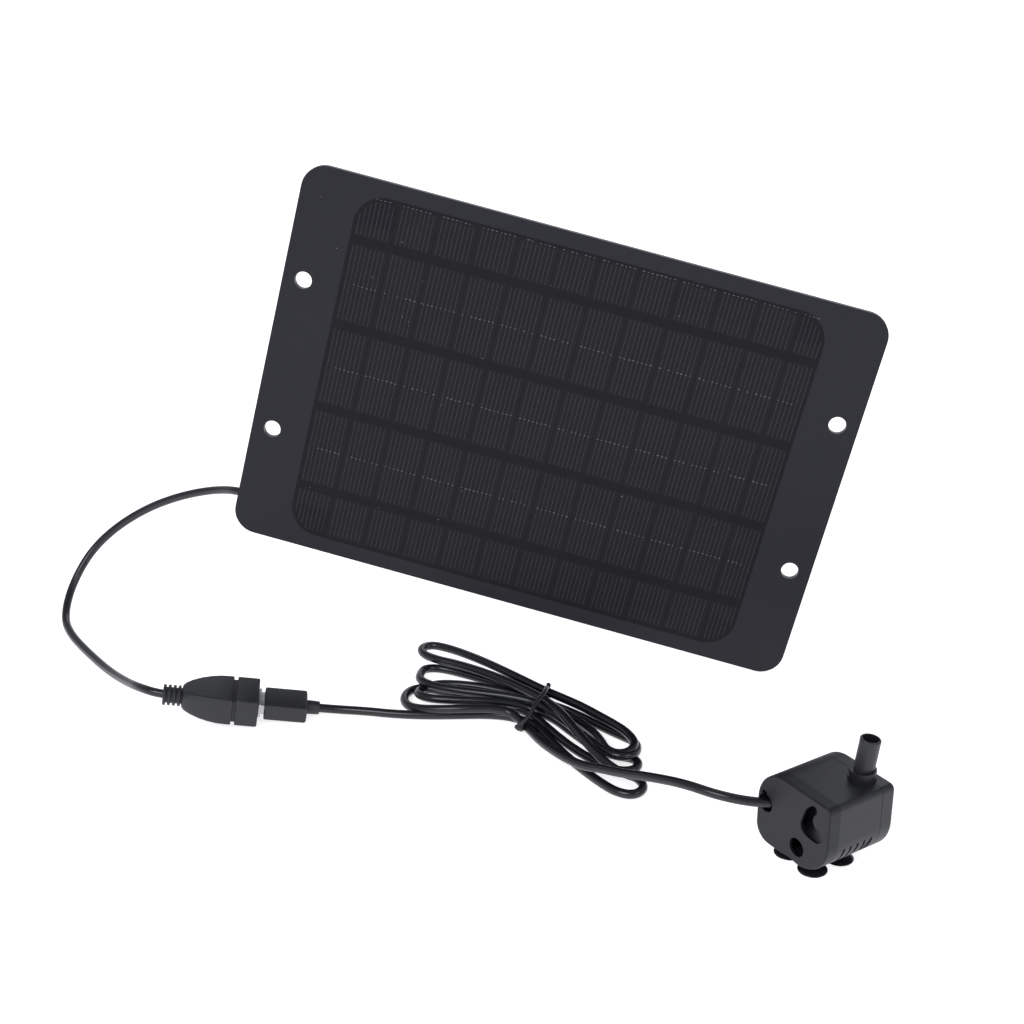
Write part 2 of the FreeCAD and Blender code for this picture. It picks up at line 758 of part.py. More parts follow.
PANEL_CABLE_ROUTE = [
    GLAND_ROOT,
    GLAND_AHEAD,
    (-268.0, 203.4, 69.6),
    (-287.0, 212.0, 62.8),
    (-306.5, 219.0, 53.0),
    (-325.0, 221.8, 40.5),
    (-338.5, 218.3, 28.0),
    (-347.0, 207.5, 13.5),
    (-347.8, 192.5, 4.0),
    (-341.5, 178.5, 2.2),
    (-329.0, 160.0, 2.2),
    (-314.5, 138.5, 4.2),
    (-302.0, 119.0, 9.4),
    (-291.3, 102.8, 15.0),
    SOCKET_BEHIND,
    SOCKET_ROOT,
]
PLUG_CABLE_ROUTE = [
    PLUG_TAIL,
    PLUG_AHEAD,
    (-190.5, 104.6, 2.2),
    (-178.0, 102.6, 2.2),
    (-164.0, 101.2, 2.2),
    (-152.0, 101.9, 2.2),
]
CABLE_SEAT = in_frame(PUMP, -12.4, -12.0, 20.6)
CABLE_ENTRY = in_frame(PUMP, -17.0, -20.0, 21.0)
PUMP_CABLE_ROUTE = [
    (-101.7, 57.2, 6.6),
    (-94.7, 49.9, 7.8),
    (-87.0, 43.5, 10.0),
    (-79.5, 36.6, 12.4),
    (-67.5, 24.4, 18.0),
    (-54.8, 11.9, 22.8),
    (-41.5, 2.3, 23.2),
    CABLE_ENTRY,
    CABLE_SEAT,
]

HANK_CENTRE = Vector(-114.0, 99.0, 0)
HANK_TURN = -37.0
HANK_LOW = 0.2
HANK_HIGH = 11.8
# The hank's outline in plan, along and across its length, through its fanned ends and tied waist.
HANK_OUTLINE = [
    (-76, 14), (-66, 23), (-40, 22.5), (-4, 16), (30, 13.5), (55, 7), (63, -6), (75, -19), (70, -31),
    (45, -30), (22, -22), (4, -12.4), (-22, -19), (-44, -29.6), (-60, -25), (-64, -8),
]


def make_hank():
    """Make the outer shape of the tied hank of cable."""
    points = [Vector(x, y, 0) for x, y in HANK_OUTLINE]
    curve = Part.BSplineCurve()
    curve.interpolate(points, PeriodicFlag=True)
    face = Part.Face(Part.Wire(curve.toShape()))
    item = doc.addObject("Part::Feature", "hank_blank")
    slab = face.extrude(Vector(0, 0, HANK_HIGH - HANK_LOW))
    item.Shape = slab.makeFillet(3.0, slab.Edges)
    item.Placement = Placement(HANK_CENTRE + Vector(0, 0, HANK_LOW), Rotation(Z_AXIS, HANK_TURN))
    return item


def make_tie():
    """Make the wire tie round the hank's waist."""
    hank = Placement(HANK_CENTRE, Rotation(Z_AXIS, HANK_TURN))
    place = hank * Placement(Vector(2.3, 1.2, 0), Rotation(Z_AXIS, 21.8))
    outer = block("2.6", "38.4", "12.6", Vector(0, 0, 6.35))
    inner = block("4", "35.8", "11.8", Vector(0, 0, 6.0))
    return cut(outer, inner, "cable_tie", place)


def make_cables():
    """Make the cables, the hank and its tie; returns the panel cable and the run into the pump."""
    panel_cable = keep(cord("panel_cable", PANEL_CABLE_ROUTE))
    plug_run = keep(cord("pump_cable_plug_run", PLUG_CABLE_ROUTE))
    pump_run = keep(cord("pump_cable_pump_run", PUMP_CABLE_ROUTE))
    keep(cut(make_hank(), joined([plug_run, pump_run]), "cable_hank"))
    keep(make_tie())
    return panel_cable, pump_run


# ---------------------------------------------------------------- pump casing


def casing_outline(sketch, inset=0.0, inset_expression="0"):
    """Draw the pump's outline seen from the rear, pulled in by an inset."""
    half = D["pump_width"] / 2 - inset
    inset_expression = f"({inset_expression})"
    aliases = ["corner_top_right", "corner_top_left", "corner_low_left", "corner_low_right"]
    add_rounded_outline(
        sketch,
        (-half, half, D["pump_low"] + inset, D["pump_high"] - inset),
        [
            f"-(dim.pump_width/2 - {inset_expression})",
            f"dim.pump_width/2 - {inset_expression}",
            f"dim.pump_low + {inset_expression}",
            f"dim.pump_high - {inset_expression}",
        ],
        [max(D[alias] - inset, 0.6) for alias in aliases],
        [f"max(dim.{alias} - {inset_expression}; 0.6)" for alias in aliases],
    )


def casing_tube(label, start, length, inset, inset_expression, wall):
    """Make a plain tube of the casing's section, used for sleeves and lips."""
    outer = new_body(f"{label}_outer", Placement())
    outside = new_sketch(outer, f"{label}_outside", "XZ_Plane", -start)
    casing_outline(outside, inset, inset_expression)
    pad(outer, outside, length, reverse=True)
    inner = new_body(f"{label}_inner", Placement())
    inside = new_sketch(inner, f"{label}_inside", "XZ_Plane", -start + 1)
    casing_outline(inside, inset + D[wall], f"{inset_expression} + dim.{wall}")
    pad(inner, inside, f"{length} + 2", reverse=True)
    return outer, inner


def arch_tool():
    """Make the round bar that scoops the shallow arch under the casing."""
    low = D["pump_low"] + 1.0 - D["arch_radius"]
    return cylinder(dim("arch_radius"), "60", Vector(0, -30, low), Y_AXIS)


def collar_notch():
    """Make the round hole for the outlet collar in the casing's top."""
    return cylinder("dim.collar_radius + 0.25", "8", Vector(OUTLET.x, OUTLET.y, OUTLET.z - 6), Z_AXIS)


SLOT_COUNT = 5
SLOT_PITCH = 3.55
SLOT_FIRST = -7.5


def slot_tools():
    """Make the blades that cut the water slots round the lower right corner."""
    return [
        block("16", dim("slot_width"), "13", Vector(18.5, SLOT_FIRST + index * SLOT_PITCH, 9.3))
        for index in range(SLOT_COUNT)
    ]


def make_housing():
    """Make the casing's middle sleeve with its water slots, feet and cup holes."""
    outer, inner = casing_tube("housing", HOUSING_REAR, dim("housing_length"), 0.0, "0", "pump_wall")
    sleeve = cut(cut(outer, inner), joined([arch_tool()] + slot_tools()))
    feet = [
        cylinder(dim("foot_radius"), "dim.pump_wall + 0.6", Vector(x, y, D["pump_low"] - 0.6), Z_AXIS)
        for x, y in CUP_PLACES
    ]
    holes = [cylinder("1.8", "8", Vector(x, y, 0), Z_AXIS) for x, y in CUP_PLACES]
    return cut(joined([sleeve] + feet), joined(holes + [collar_notch()]), "pump_housing", PUMP)


# The boomerang slot's outline on the rear face, as distances across and up the pump.
BOOMERANG = [
    (9.6, 32.9), (12.8, 33.3), (13.2, 31.8), (11.7, 29.2), (11.6, 26.6), (13.4, 24.7), (16.8, 24.2),
    (17.0, 21.6), (14.9, 18.8), (10.6, 18.4), (6.6, 19.4), (5.0, 21.4), (5.5, 25.6), (7.1, 30.2),
]


def boomerang_tool():
    """Make the bent slot of the rear plate from a smooth closed outline."""
    curve = Part.BSplineCurve()
    curve.interpolate([Vector(x, REAR_FACE - 1, z) for x, z in BOOMERANG], PeriodicFlag=True)
    item = doc.addObject("Part::Feature", "boomerang")
    face = Part.Face(Part.Wire(curve.toShape()))
    item.Shape = face.extrude(Vector(0, D["rear_face_thickness"] + 1.5, 0))
    return item


def plate_openings():
    """Make the tools for the rear plate's cable hole, round hole and crescent slot."""
    depth = "dim.rear_face_thickness + 2"
    start = REAR_FACE - 1
    cable = cylinder("3.9", depth, Vector(CABLE_HOLE.x, start, CABLE_HOLE.z), Y_AXIS)
    notch = cylinder("1.5", depth, Vector(CABLE_HOLE.x - 1.0, start, CABLE_HOLE.z + 4.0), Y_AXIS)
    round_hole = cylinder("4", depth, Vector(3.5, start, 10.6), Y_AXIS)
    return [cable, notch, round_hole, boomerang_tool()]


def make_rear_plate():
    """Make the snap-on rear plate: a face with openings, a skirt and an inner lip."""
    outer = new_body("rear_outer", Placement())
    outside = new_sketch(outer, "rear_outside", "XZ_Plane", -REAR_FACE)
    casing_outline(outside)
    solid = pad(outer, outside, dim("rear_plate_length"), reverse=True)
    fillet(outer, solid, lambda edge: lies_at(edge, "Y", REAR_FACE), "0.8")
    inner = new_body("rear_inner", Placement())
    inside = new_sketch(inner, "rear_inside", "XZ_Plane", -(REAR_FACE + D["rear_face_thickness"]))
    casing_outline(inside, D["pump_wall"], dim("pump_wall"))
    pad(inner, inside, "10", reverse=True)
    lip_outer, lip_inner = casing_tube(
        "rear_lip", HOUSING_REAR - 1.5, "dim.lip_length + 1.5",
        D["pump_wall"], dim("pump_wall"), "lip_thickness",
    )
    shell = joined([cut(outer, inner), cut(lip_outer, lip_inner)])
    scallops = [
        cylinder("dim.foot_radius + 0.2", "9", Vector(x, y, 0), Z_AXIS) for x, y in CUP_PLACES if y < -5
    ]
    return cut(shell, joined([arch_tool()] + scallops + plate_openings()), "rear_plate", PUMP)


def make_front_cover():
    """Make the pull-off front cover with its intake slots and the notch for the collar."""
    outer = new_body("front_outer", Placement())
    outside = new_sketch(outer, "front_outside", "XZ_Plane", -COVER_START)
    casing_outline(outside)
    solid = pad(outer, outside, dim("front_cover_length"), reverse=True)
    fillet(outer, solid, lambda edge: lies_at(edge, "Y", FRONT_FACE), "1.2")
    inner = new_body("front_inner", Placement())
    inside = new_sketch(inner, "front_inside", "XZ_Plane", -(COVER_START - 5))
    casing_outline(inside, D["pump_wall"], dim("pump_wall"))
    pad(inner, inside, "dim.front_cover_length - dim.front_face_thickness + 5", reverse=True)
    lip_outer, lip_inner = casing_tube(
        "front_lip", COVER_START - D["lip_length"], "dim.lip_length + 1.5",
        D["pump_wall"] + 0.2, "dim.pump_wall + 0.2", "lip_thickness",
    )
    bridge_outer, bridge_inner = casing_tube(
        "front_bridge", COVER_START, "1.5", D["pump_wall"] - 0.4, "dim.pump_wall - 0.4", "lip_thickness",
    )
    shell = joined([cut(outer, inner), cut(lip_outer, lip_inner), cut(bridge_outer, bridge_inner)])
    slots = [
        block("2", "8", "15", Vector(x, FRONT_FACE, ROTOR_HEIGHT)) for x in (-10, -6, -2, 2, 6, 10)
    ]
    return cut(shell, joined([arch_tool(), collar_notch()] + slots), "front_cover", PUMP)


def make_cups():
    """Make the four suction cups, each snapped through the housing's floor."""
    foot = D["pump_low"] - 0.6
    outline = [
        (0, 1.5), (1.6, 1.4), (D["cup_radius"] - 0.2, 0.0), (D["cup_radius"], 0.15), (3.4, 1.7),
        (2.2, 2.1), (2.4, foot), (1.75, foot), (1.75, 6.2), (2.5, 6.2), (1.4, 7.4), (0, 7.4),
    ]
    for number, (x, y) in enumerate(CUP_PLACES, start=1):
        place = PUMP * Placement(Vector(x, y, 0), Rotation())
        keep(revolved_body(f"suction_cup_{number}", place, outline))


# ---------------------------------------------------------------- motor and rotor


def make_motor_case():
    """Make the motor case with its rotor well, its front wall and the foot it stands on."""
    radius = D["motor_radius"]
    wall = D["motor_wall"]
    well = D["well_radius"]
    well_outer = well + D["well_wall"]
    outline = [
        (radius, MOTOR_REAR), (radius, MOTOR_FRONT), (well, MOTOR_FRONT), (well, WELL_FLOOR),
        (0, WELL_FLOOR), (0, WELL_FLOOR - wall), (well_outer, WELL_FLOOR - wall),
        (well_outer, MOTOR_FRONT - wall), (radius - wall, MOTOR_FRONT - wall), (radius - wall, MOTOR_REAR),
    ]
    shell = revolved_body("case_shell", Placement(), outline)
    saddle = block("6.4", "2.4", "12", Vector(0, ROTOR_HEIGHT - D["pump_low"] - D["pump_wall"] - 1.2, -3.0))
    tooth = cylinder("dim.motor_radius - 0.5", "16", Vector(0, 0, -11.5), Z_AXIS)
    return joined([shell, cut(saddle, tooth)], "motor_case", ROTOR)


def stator_poles(radial_start, radial_end, width, length, middle):
    """Make four radial blocks round the rotor's axis."""
    poles = []
    for quarter in range(4):
        pole = block(str(radial_end - radial_start), width, length,
                     Vector((radial_start + radial_end) / 2, 0, middle))
        pole.Placement = Placement(Vector(), Rotation(Z_AXIS, 45 + 90 * quarter)) * pole.Placement
        poles.append(pole)
    return poles


STATOR_MIDDLE = -1.8


def make_stator():
    """Make the laminated core and the four windings on its poles."""
    low = STATOR_MIDDLE - D["stator_length"] / 2
    well_outer = D["well_radius"] + D["well_wall"]
    ring = cut(
        cylinder(dim("stator_radius"), dim("stator_length"), Vector(0, 0, low)),
        cylinder("dim.stator_radius - 2", "dim.stator_length + 2", Vector(0, 0, low - 1)),
    )
    poles = stator_poles(well_outer + 0.1, 10.6, dim("pole_width"), dim("stator_length"), STATOR_MIDDLE)
    keep(joined([ring] + poles, "stator_core", ROTOR))
    outer = stator_poles(7.5, 9.0, "dim.pole_width + 2.4", "dim.stator_length + 1.6", STATOR_MIDDLE)
    inner = stator_poles(7.0, 10.0, dim("pole_width"), dim("stator_length"), STATOR_MIDDLE)
    coils = [cut(whole, core) for whole, core in zip(outer, inner)]
    keep(grouped(coils, "stator_windings", ROTOR))


def make_driver_board():
    """Make the round driver board behind the rotor well."""
    board = cylinder("10.5", "0.8", Vector(0, 0, MOTOR_REAR + 0.2))
    return grouped([board], "driver_board", ROTOR)


def make_potting(stator, windings, board):
    """Make the resin that fills the motor case round the windings and the board."""
    inner = "dim.motor_radius - dim.motor_wall"
    fill = cylinder(inner, str(MOTOR_FRONT - D["motor_wall"] - MOTOR_REAR), Vector(0, 0, MOTOR_REAR))
    well = cylinder("dim.well_radius + dim.well_wall", "30", Vector(0, 0, WELL_FLOOR - D["motor_wall"]))
    fill.Placement = ROTOR * fill.Placement
    well.Placement = ROTOR * well.Placement
    return cut(fill, joined([well, stator, windings, board]), "potting_resin")


def make_rotor():
    """Make the magnet, the impeller on its stem, the fixed shaft and its two seats."""
    low = WELL_FLOOR + 1.4
    magnet = cut(
        cylinder(dim("magnet_radius"), dim("magnet_length"), Vector(0, 0, low)),
        cylinder(dim("stem_radius"), "dim.magnet_length + 2", Vector(0, 0, low - 1)),
    )
    keep(grouped([magnet], "rotor_magnet", ROTOR))
    keep(make_impeller(low))
    shaft = cylinder(dim("shaft_radius"), "20.4", Vector(0, 0, WELL_FLOOR))
    keep(grouped([shaft], "rotor_shaft", ROTOR))
    rear_seat = [(1.0, WELL_FLOOR), (3.0, WELL_FLOOR), (2.6, low - 0.3), (1.0, low - 0.3)]
    seat = revolved_body("rear_shaft_seat", ROTOR, rear_seat)
    keep(seat)
    front_seat = [(1.0, CHAMBER_FRONT - 1.4), (2.2, CHAMBER_FRONT - 1.4), (2.2, CHAMBER_FRONT + 1.4),
                  (0, CHAMBER_FRONT + 1.4), (0, CHAMBER_FRONT + 0.2), (1.0, CHAMBER_FRONT + 0.2)]
    keep(revolved_body("front_shaft_seat", ROTOR, front_seat))


BLADE_COUNT = 6
DISC_BACK = 5.2
DISC_FRONT = 6.4


def make_impeller(low):
    """Make the impeller: stem, hub and disc turned as one, then a pattern of straight blades."""
    bore = D["shaft_radius"] + D["shaft_clearance"]
    radius = D["impeller_radius"]
    top = DISC_FRONT + D["blade_height"]
    body = new_body("impeller", ROTOR)
    section = new_sketch(body, "impeller_section", "XZ_Plane")
    add_polygon(section, [
        (bore, low), (D["stem_radius"], low), (D["stem_radius"], DISC_BACK), (radius, DISC_BACK),
        (radius, DISC_FRONT), (3.6, DISC_FRONT), (2.6, top), (bore, top),
    ])
    revolve(body, section)
    blade = new_sketch(body, "impeller_blade", "XY_Plane", DISC_FRONT)
    add_rounded_outline(
        blade, (2.4, radius - 0.2, -0.55, 0.55), [None, "dim.impeller_radius - 0.2", None, None],
        [0.4] * 4, [None] * 4,
    )
    first = pad(body, blade, "dim.blade_height - 0.4")
    pattern = body.newObject("PartDesign::PolarPattern", "impeller_blades")
    pattern.Originals = [first]
    pattern.Axis = (blade, ["N_Axis"])
    pattern.Angle = 360.0
    pattern.Occurrences = BLADE_COUNT
    body.Tip = pattern
    return body


def make_chamber():
    """Make the impeller chamber with its outlet riser, collar and the leaning nozzle seat."""
    length = str(CHAMBER_FRONT - MOTOR_FRONT)
    base = Vector(0, MOTOR_FRONT, ROTOR_HEIGHT)
    drum = cylinder(dim("chamber_radius"), length, base, Y_AXIS)
    riser = cylinder("dim.outlet_bore_radius + 0.9", "15", Vector(OUTLET.x, OUTLET.y, 22), Z_AXIS)
    flange = cylinder("dim.collar_radius + 0.1", "2.3", OUTLET - Vector(0, 0, 1.6), Z_AXIS)
    neck = cylinder("dim.collar_radius - 0.5", "5", OUTLET - Vector(0, 0, 1), Z_AXIS)
    bead = cylinder(dim("collar_radius"), "1.5", OUTLET + Vector(0, 0, 2.7), Z_AXIS)
    solid = joined([drum, riser, flange, neck, bead])
    cavity = cylinder(dim("cavity_radius"), length, base + Vector(0, 1.2, 0), Y_AXIS)
    mouth = cylinder("dim.well_radius + 4", "4", base - Vector(0, 1, 0), Y_AXIS)
    bore = cylinder(dim("outlet_bore_radius"), "22", Vector(OUTLET.x, OUTLET.y, 20), Z_AXIS)
    seat = cylinder("dim.nozzle_foot_radius + dim.nozzle_clearance", "20", NOZZLE_SEAT, NOZZLE_AXIS)
    return cut(solid, joined([cavity, mouth, bore, seat]), "impeller_chamber", PUMP)


# The nozzle leans towards the row's +X, which lies between the pump's own X and Y.
LEAN_HEADING = PUMP.Rotation.inverted().multVec(X_AXIS)
NOZZLE_AXIS = LEAN_HEADING * math.sin(math.radians(NOZZLE_LEAN)) + Z_AXIS * math.cos(
    math.radians(NOZZLE_LEAN)
)
NOZZLE_SEAT = OUTLET + Vector(0, 0, 0.2)


def make_nozzle():
    """Make the push-in outlet tube, with a slimmer foot that sits in the collar."""
    turn = Rotation(Z_AXIS, NOZZLE_AXIS)
    place = PUMP * Placement(NOZZLE_SEAT + NOZZLE_AXIS * 0.05, turn)
    bore = D["nozzle_bore_radius"]
    radius = D["nozzle_radius"]
    foot = D["nozzle_foot_radius"]
    step = D["nozzle_foot_length"]
    top = D["nozzle_length"]
    outline = [
        (bore, 0), (foot, 0), (foot, step), (radius, step + 0.2), (radius, top - 0.3),
        (radius - 0.3, top), (bore, top),
    ]
    return revolved_body("outlet_nozzle", place, outline)


def make_chamber_cap():
    """Make the chamber's front cap with its inlet eye and the spider that holds the shaft."""
    base = Vector(0, 0, CHAMBER_FRONT)
    plate = cylinder(dim("chamber_radius"), "1.4", base)
    spigot = cut(cylinder("dim.cavity_radius - 0.1", "1.2", base - Vector(0, 0, 1.2)),
                 cylinder("dim.cavity_radius - 1.2", "4", base - Vector(0, 0, 2)))
    eye = cylinder("5", "6", base - Vector(0, 0, 2))
    ring = cut(joined([plate, spigot]), eye)
    hub = cylinder("3.2", "1.4", base)
    spokes = [block("11", "1.2", "1.4", base + Vector(0, 0, 0.7))]
    cross = block("1.2", "11", "1.4", base + Vector(0, 0, 0.7))
    seat = cylinder("2.2", "6", base - Vector(0, 0, 2))
    return cut(joined([ring, hub] + spokes + [cross]), seat, "chamber_cap", ROTOR)


def make_cable_boot(cable):
    """Make the rubber boot where the cable enters the resin."""
    outline = [(0, 0), (4.0, 0), (4.0, 2.6), (3.2, 4.2), (0, 4.2)]
    centre = Vector(-12.0, MOTOR_REAR, 20.6)
    place = PUMP * Placement(centre, Rotation(Z_AXIS, Vector(0, -1, 0)))
    return cut(revolved_body("boot_blank", place, outline), cable, "cable_boot")


def make_pump(cable):
    """Make the casing, the motor, the rotor and the water path."""
    keep(make_housing())
    keep(make_rear_plate())
    keep(make_front_cover())
    make_cups()
    keep(make_motor_case())
    make_stator()
    stator, windings = PARTS[-2], PARTS[-1]
    board = keep(make_driver_board())
    keep(make_potting(stator, windings, board))
    make_rotor()
    keep(make_chamber())
    keep(make_chamber_cap())
    keep(make_nozzle())
    keep(make_cable_boot(cable))


# ---------------------------------------------------------------- build and write


def check_and_write():
    """Recompute, check every object, and write one STEP file per sub-part."""
    doc.recompute()
    for item in doc.Objects:
        if "Invalid" in item.State or "Error" in item.State:
            raise RuntimeError(f"{item.Name} failed: {item.State}")
    os.makedirs("parts", exist_ok=True)
    for item in PARTS:
        shape = item.Shape
        if shape.isNull() or not shape.isValid() or not shape.Solids:
            raise RuntimeError(f"{item.Label} has no valid solid")
        shape.exportStep(f"parts/{item.Label}.step")
        print(f"{item.Label}: {len(shape.Solids)} solid(s), {shape.Volume:.1f} mm3")


panel_cord, pump_cord = make_cables()
make_panel()
make_junction_box(panel_cord)
make_socket(panel_cord)
make_plug()
make_pump(pump_cord)
check_and_write()
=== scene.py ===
"""Looks for the solar fountain pump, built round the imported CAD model. All lengths are in metres."""
import math
import random

import bmesh
import bpy
from mathutils import Matrix, Vector


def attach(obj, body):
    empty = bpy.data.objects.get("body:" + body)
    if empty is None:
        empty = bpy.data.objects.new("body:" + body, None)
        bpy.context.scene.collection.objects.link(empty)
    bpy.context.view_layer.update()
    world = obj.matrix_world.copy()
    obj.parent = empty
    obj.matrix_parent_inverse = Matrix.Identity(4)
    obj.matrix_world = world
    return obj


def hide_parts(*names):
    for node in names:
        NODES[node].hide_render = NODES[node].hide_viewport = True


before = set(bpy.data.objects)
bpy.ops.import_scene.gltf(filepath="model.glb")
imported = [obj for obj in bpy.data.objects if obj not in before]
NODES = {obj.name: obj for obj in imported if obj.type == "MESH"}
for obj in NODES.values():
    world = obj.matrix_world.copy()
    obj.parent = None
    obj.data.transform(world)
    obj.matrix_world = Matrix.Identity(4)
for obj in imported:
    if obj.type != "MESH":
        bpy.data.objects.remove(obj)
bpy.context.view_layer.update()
MM = 0.001
CABLE_DIAMETER = 0.004
# Edges sharper than this many degrees stay crisp in the shading.
SHARP_ANGLE = 32.0


# ---------------------------------------------------------------- camera


def make_camera():
    """Place the camera at the scene's viewing angle."""
    data = bpy.data.cameras.new("camera")
    data.lens = 62.68
    data.sensor_width = 36.0
    data.clip_start = 0.05
    data.clip_end = 60.0
    camera = bpy.data.objects.new("camera", data)
    camera.location = (-0.124, -0.600, 0.415)
    camera.rotation_euler = (math.radians(66.0), 0.0, 0.0)
    bpy.context.scene.collection.objects.link(camera)
    bpy.context.scene.camera = camera


make_camera()


# ---------------------------------------------------------------- places


def place(origin, turns):
    """Return a frame from its origin in millimetres and its turns about Z, Y and X in degrees."""
    matrix = Matrix.Translation(Vector(origin) * MM)
    for axis, angle in turns:
        matrix = matrix @ Matrix.Rotation(math.radians(angle), 4, axis)
    return matrix


PANEL = place((-106.7, 166.3, 117.05), [("Z", -6.7), ("X", -4.6), ("Y", 13.4)])
CONNECTOR = place((-238.9, 102.9, 7.5), [("Z", 5.6), ("Y", 9.0), ("X", 1.7)])
PUMP = place((-0.3, -2.7, 0.0), [("Z", -56.5)])
HANK = place((-114.0, 99.0, 0.0), [("Z", -37.0)])
BOX = PANEL @ Matrix.Translation(Vector((-91.0, 1.65, -70.0)) * MM)


def local(matrix, x, y, z):
    """Return a point given in millimetres in a frame, in the row frame in metres."""
    return tuple(matrix @ (Vector((x, y, z)) * MM))


def in_metres(points):
    """Return points given in millimetres in the row frame, in metres."""
    return [tuple(value * MM for value in point) for point in points]


# ---------------------------------------------------------------- materials


class Nodes:
    """A short way to add and link shader nodes."""

    def __init__(self, tree):
        self.tree = tree

    def add(self, kind, **values):
        """Add a node; names with a capital set sockets and others set properties."""
        node = self.tree.nodes.new(kind)
        for name, value in values.items():
            if name[0].isupper():
                node.inputs[name.replace("_", " ")].default_value = value
            else:
                setattr(node, name, value)
        return node

    def link(self, source, output, target, socket):
        """Link one node's output to another's input."""
        self.tree.links.new(source.outputs[output], target.inputs[socket])


# A grey below DARK_GREY gets this much more blue, and a tenth as much more green.
DARK_GREY = 0.1
COOL_BLUE = 0.28


def coloured(value):
    """Return a linear colour with its alpha; a dark grey given as one number is cooled a little."""
    if isinstance(value, (int, float)):
        cool = COOL_BLUE if value < DARK_GREY else 0.0
        value = (value, value * (1.0 + cool * 0.1), value * (1.0 + cool))
    return (*value, 1.0)


def surface(name, dark, light, rough, **extra):
    """Make a moulded or coated surface: mottled colour, uneven gloss and fine relief.

    grain and blotch are sizes in noise cells per metre, spread is how far the roughness wanders,
    relief is the bump's height in metres and strength its weight. metallic and specular go straight
    to the shader.
    """
    material = bpy.data.materials.new(name)
    material.use_nodes = True
    tree = Nodes(material.node_tree)
    shader = material.node_tree.nodes["Principled BSDF"]
    coordinates = tree.add("ShaderNodeTexCoord")
    blotch = tree.add("ShaderNodeTexNoise", Scale=extra.get("blotch", 60.0), Detail=4.0, Roughness=0.6)
    tree.link(coordinates, "Object", blotch, "Vector")
    ramp = tree.add("ShaderNodeValToRGB")
    ramp.color_ramp.elements[0].position = 0.3
    ramp.color_ramp.elements[1].position = 0.7
    ramp.color_ramp.elements[0].color = coloured(dark)
    ramp.color_ramp.elements[1].color = coloured(light)
    tree.link(blotch, "Fac", ramp, "Fac")
    tree.link(ramp, "Color", shader, "Base Color")
    grain = tree.add("ShaderNodeTexNoise", Scale=extra.get("grain", 2600.0), Detail=3.0, Roughness=0.55)
    tree.link(coordinates, "Object", grain, "Vector")
    spread = extra.get("spread", 0.06)
    gloss = tree.add("ShaderNodeMapRange")
    gloss.inputs["To Min"].default_value = rough - spread
    gloss.inputs["To Max"].default_value = rough + spread
    tree.link(grain, "Fac", gloss, "Value")
    tree.link(gloss, "Result", shader, "Roughness")
    bump = tree.add("ShaderNodeBump", Strength=extra.get("strength", 0.5),
                    Distance=extra.get("relief", 0.00004))
    tree.link(grain, "Fac", bump, "Height")
    tree.link(bump, "Normal", shader, "Normal")
    shader.inputs["Metallic"].default_value = extra.get("metallic", 0.0)
    shader.inputs["Specular IOR Level"].default_value = extra.get("specular", 0.5)
    return material


def stripes(material, axis, pitch, depth):
    """Add fine moulded or laid lines across one axis to a material's relief."""
    tree = Nodes(material.node_tree)
    shader = material.node_tree.nodes["Principled BSDF"]
    old = shader.inputs["Normal"].links[0].from_node
    coordinates = tree.add("ShaderNodeTexCoord")
    wave = tree.add("ShaderNodeTexWave", bands_direction=axis, Scale=1.0 / (pitch * 20.0), Distortion=0.3)
    tree.link(coordinates, "Object", wave, "Vector")
    bump = tree.add("ShaderNodeBump", Strength=0.6, Distance=depth)
    tree.link(wave, "Fac", bump, "Height")
    tree.link(old, "Normal", bump, "Normal")
    tree.link(bump, "Normal", shader, "Normal")
    return material


CASING = surface("casing_plastic", 0.0100, 0.0120, 0.47, relief=0.00003, specular=0.42)
COVER = surface("cover_plastic", 0.0106, 0.0126, 0.46, relief=0.00003, specular=0.42)
PLATE = surface("plate_plastic", 0.0088, 0.0104, 0.50, relief=0.00003, specular=0.30)
SPOUT = surface("spout_plastic", 0.0088, 0.0104, 0.42, relief=0.00002)
RUBBER = surface("cup_rubber", 0.0060, 0.0080, 0.24, relief=0.00001, blotch=120.0)
MOULD = surface("mould_rubber", 0.0110, 0.0130, 0.50, relief=0.00004)
CABLE = surface("cable_sheath", 0.0060, 0.0072, 0.25, relief=0.00001, blotch=90.0, spread=0.04, grain=1500.0)
TIE = surface("tie_sleeve", 0.0100, 0.0120, 0.45, relief=0.00002)
FILM = surface("film", (0.0118, 0.0120, 0.0160), (0.0132, 0.0134, 0.0174), 0.42, specular=0.22, blotch=14.0,
               grain=1800.0, relief=0.00002, strength=0.35)
WINDOW = surface("cell_window", (0.0068, 0.0064, 0.0092), (0.0078, 0.0073, 0.0102), 0.42, specular=0.13,
                 blotch=25.0, grain=1800.0, relief=0.00002, strength=0.35)
CELL = surface("cell_silicon", (0.0078, 0.0072, 0.0092), (0.0098, 0.0090, 0.0112), 0.40, specular=0.15,
               blotch=45.0, grain=1800.0, relief=0.00002, strength=0.35)
FINGER = surface("silver_finger", 0.022, 0.034, 0.42, specular=0.25, blotch=220.0)
SOLDER = surface("solder_dot", 0.075, 0.130, 0.35, blotch=400.0)
RIBBON = surface("ribbon", 0.30, 0.40, 0.30, metallic=1.0)
RESIN = surface("resin", 0.012, 0.020, 0.30)
BOARD = surface("backing_sheet", 0.0190, 0.0230, 0.45, blotch=20.0, relief=0.00004)
BOX_PLASTIC = surface("box_plastic", 0.0140, 0.0165, 0.42, relief=0.00006, grain=1600.0)
STEEL = surface("plated_steel", 0.40, 0.52, 0.30, metallic=1.0, blotch=300.0)
GOLD = surface("gold_plate", (0.75, 0.52, 0.20), (0.85, 0.62, 0.28), 0.25, metallic=1.0)
COPPER = surface("enamelled_copper", (0.45, 0.15, 0.05), (0.62, 0.22, 0.08), 0.30, metallic=0.9)
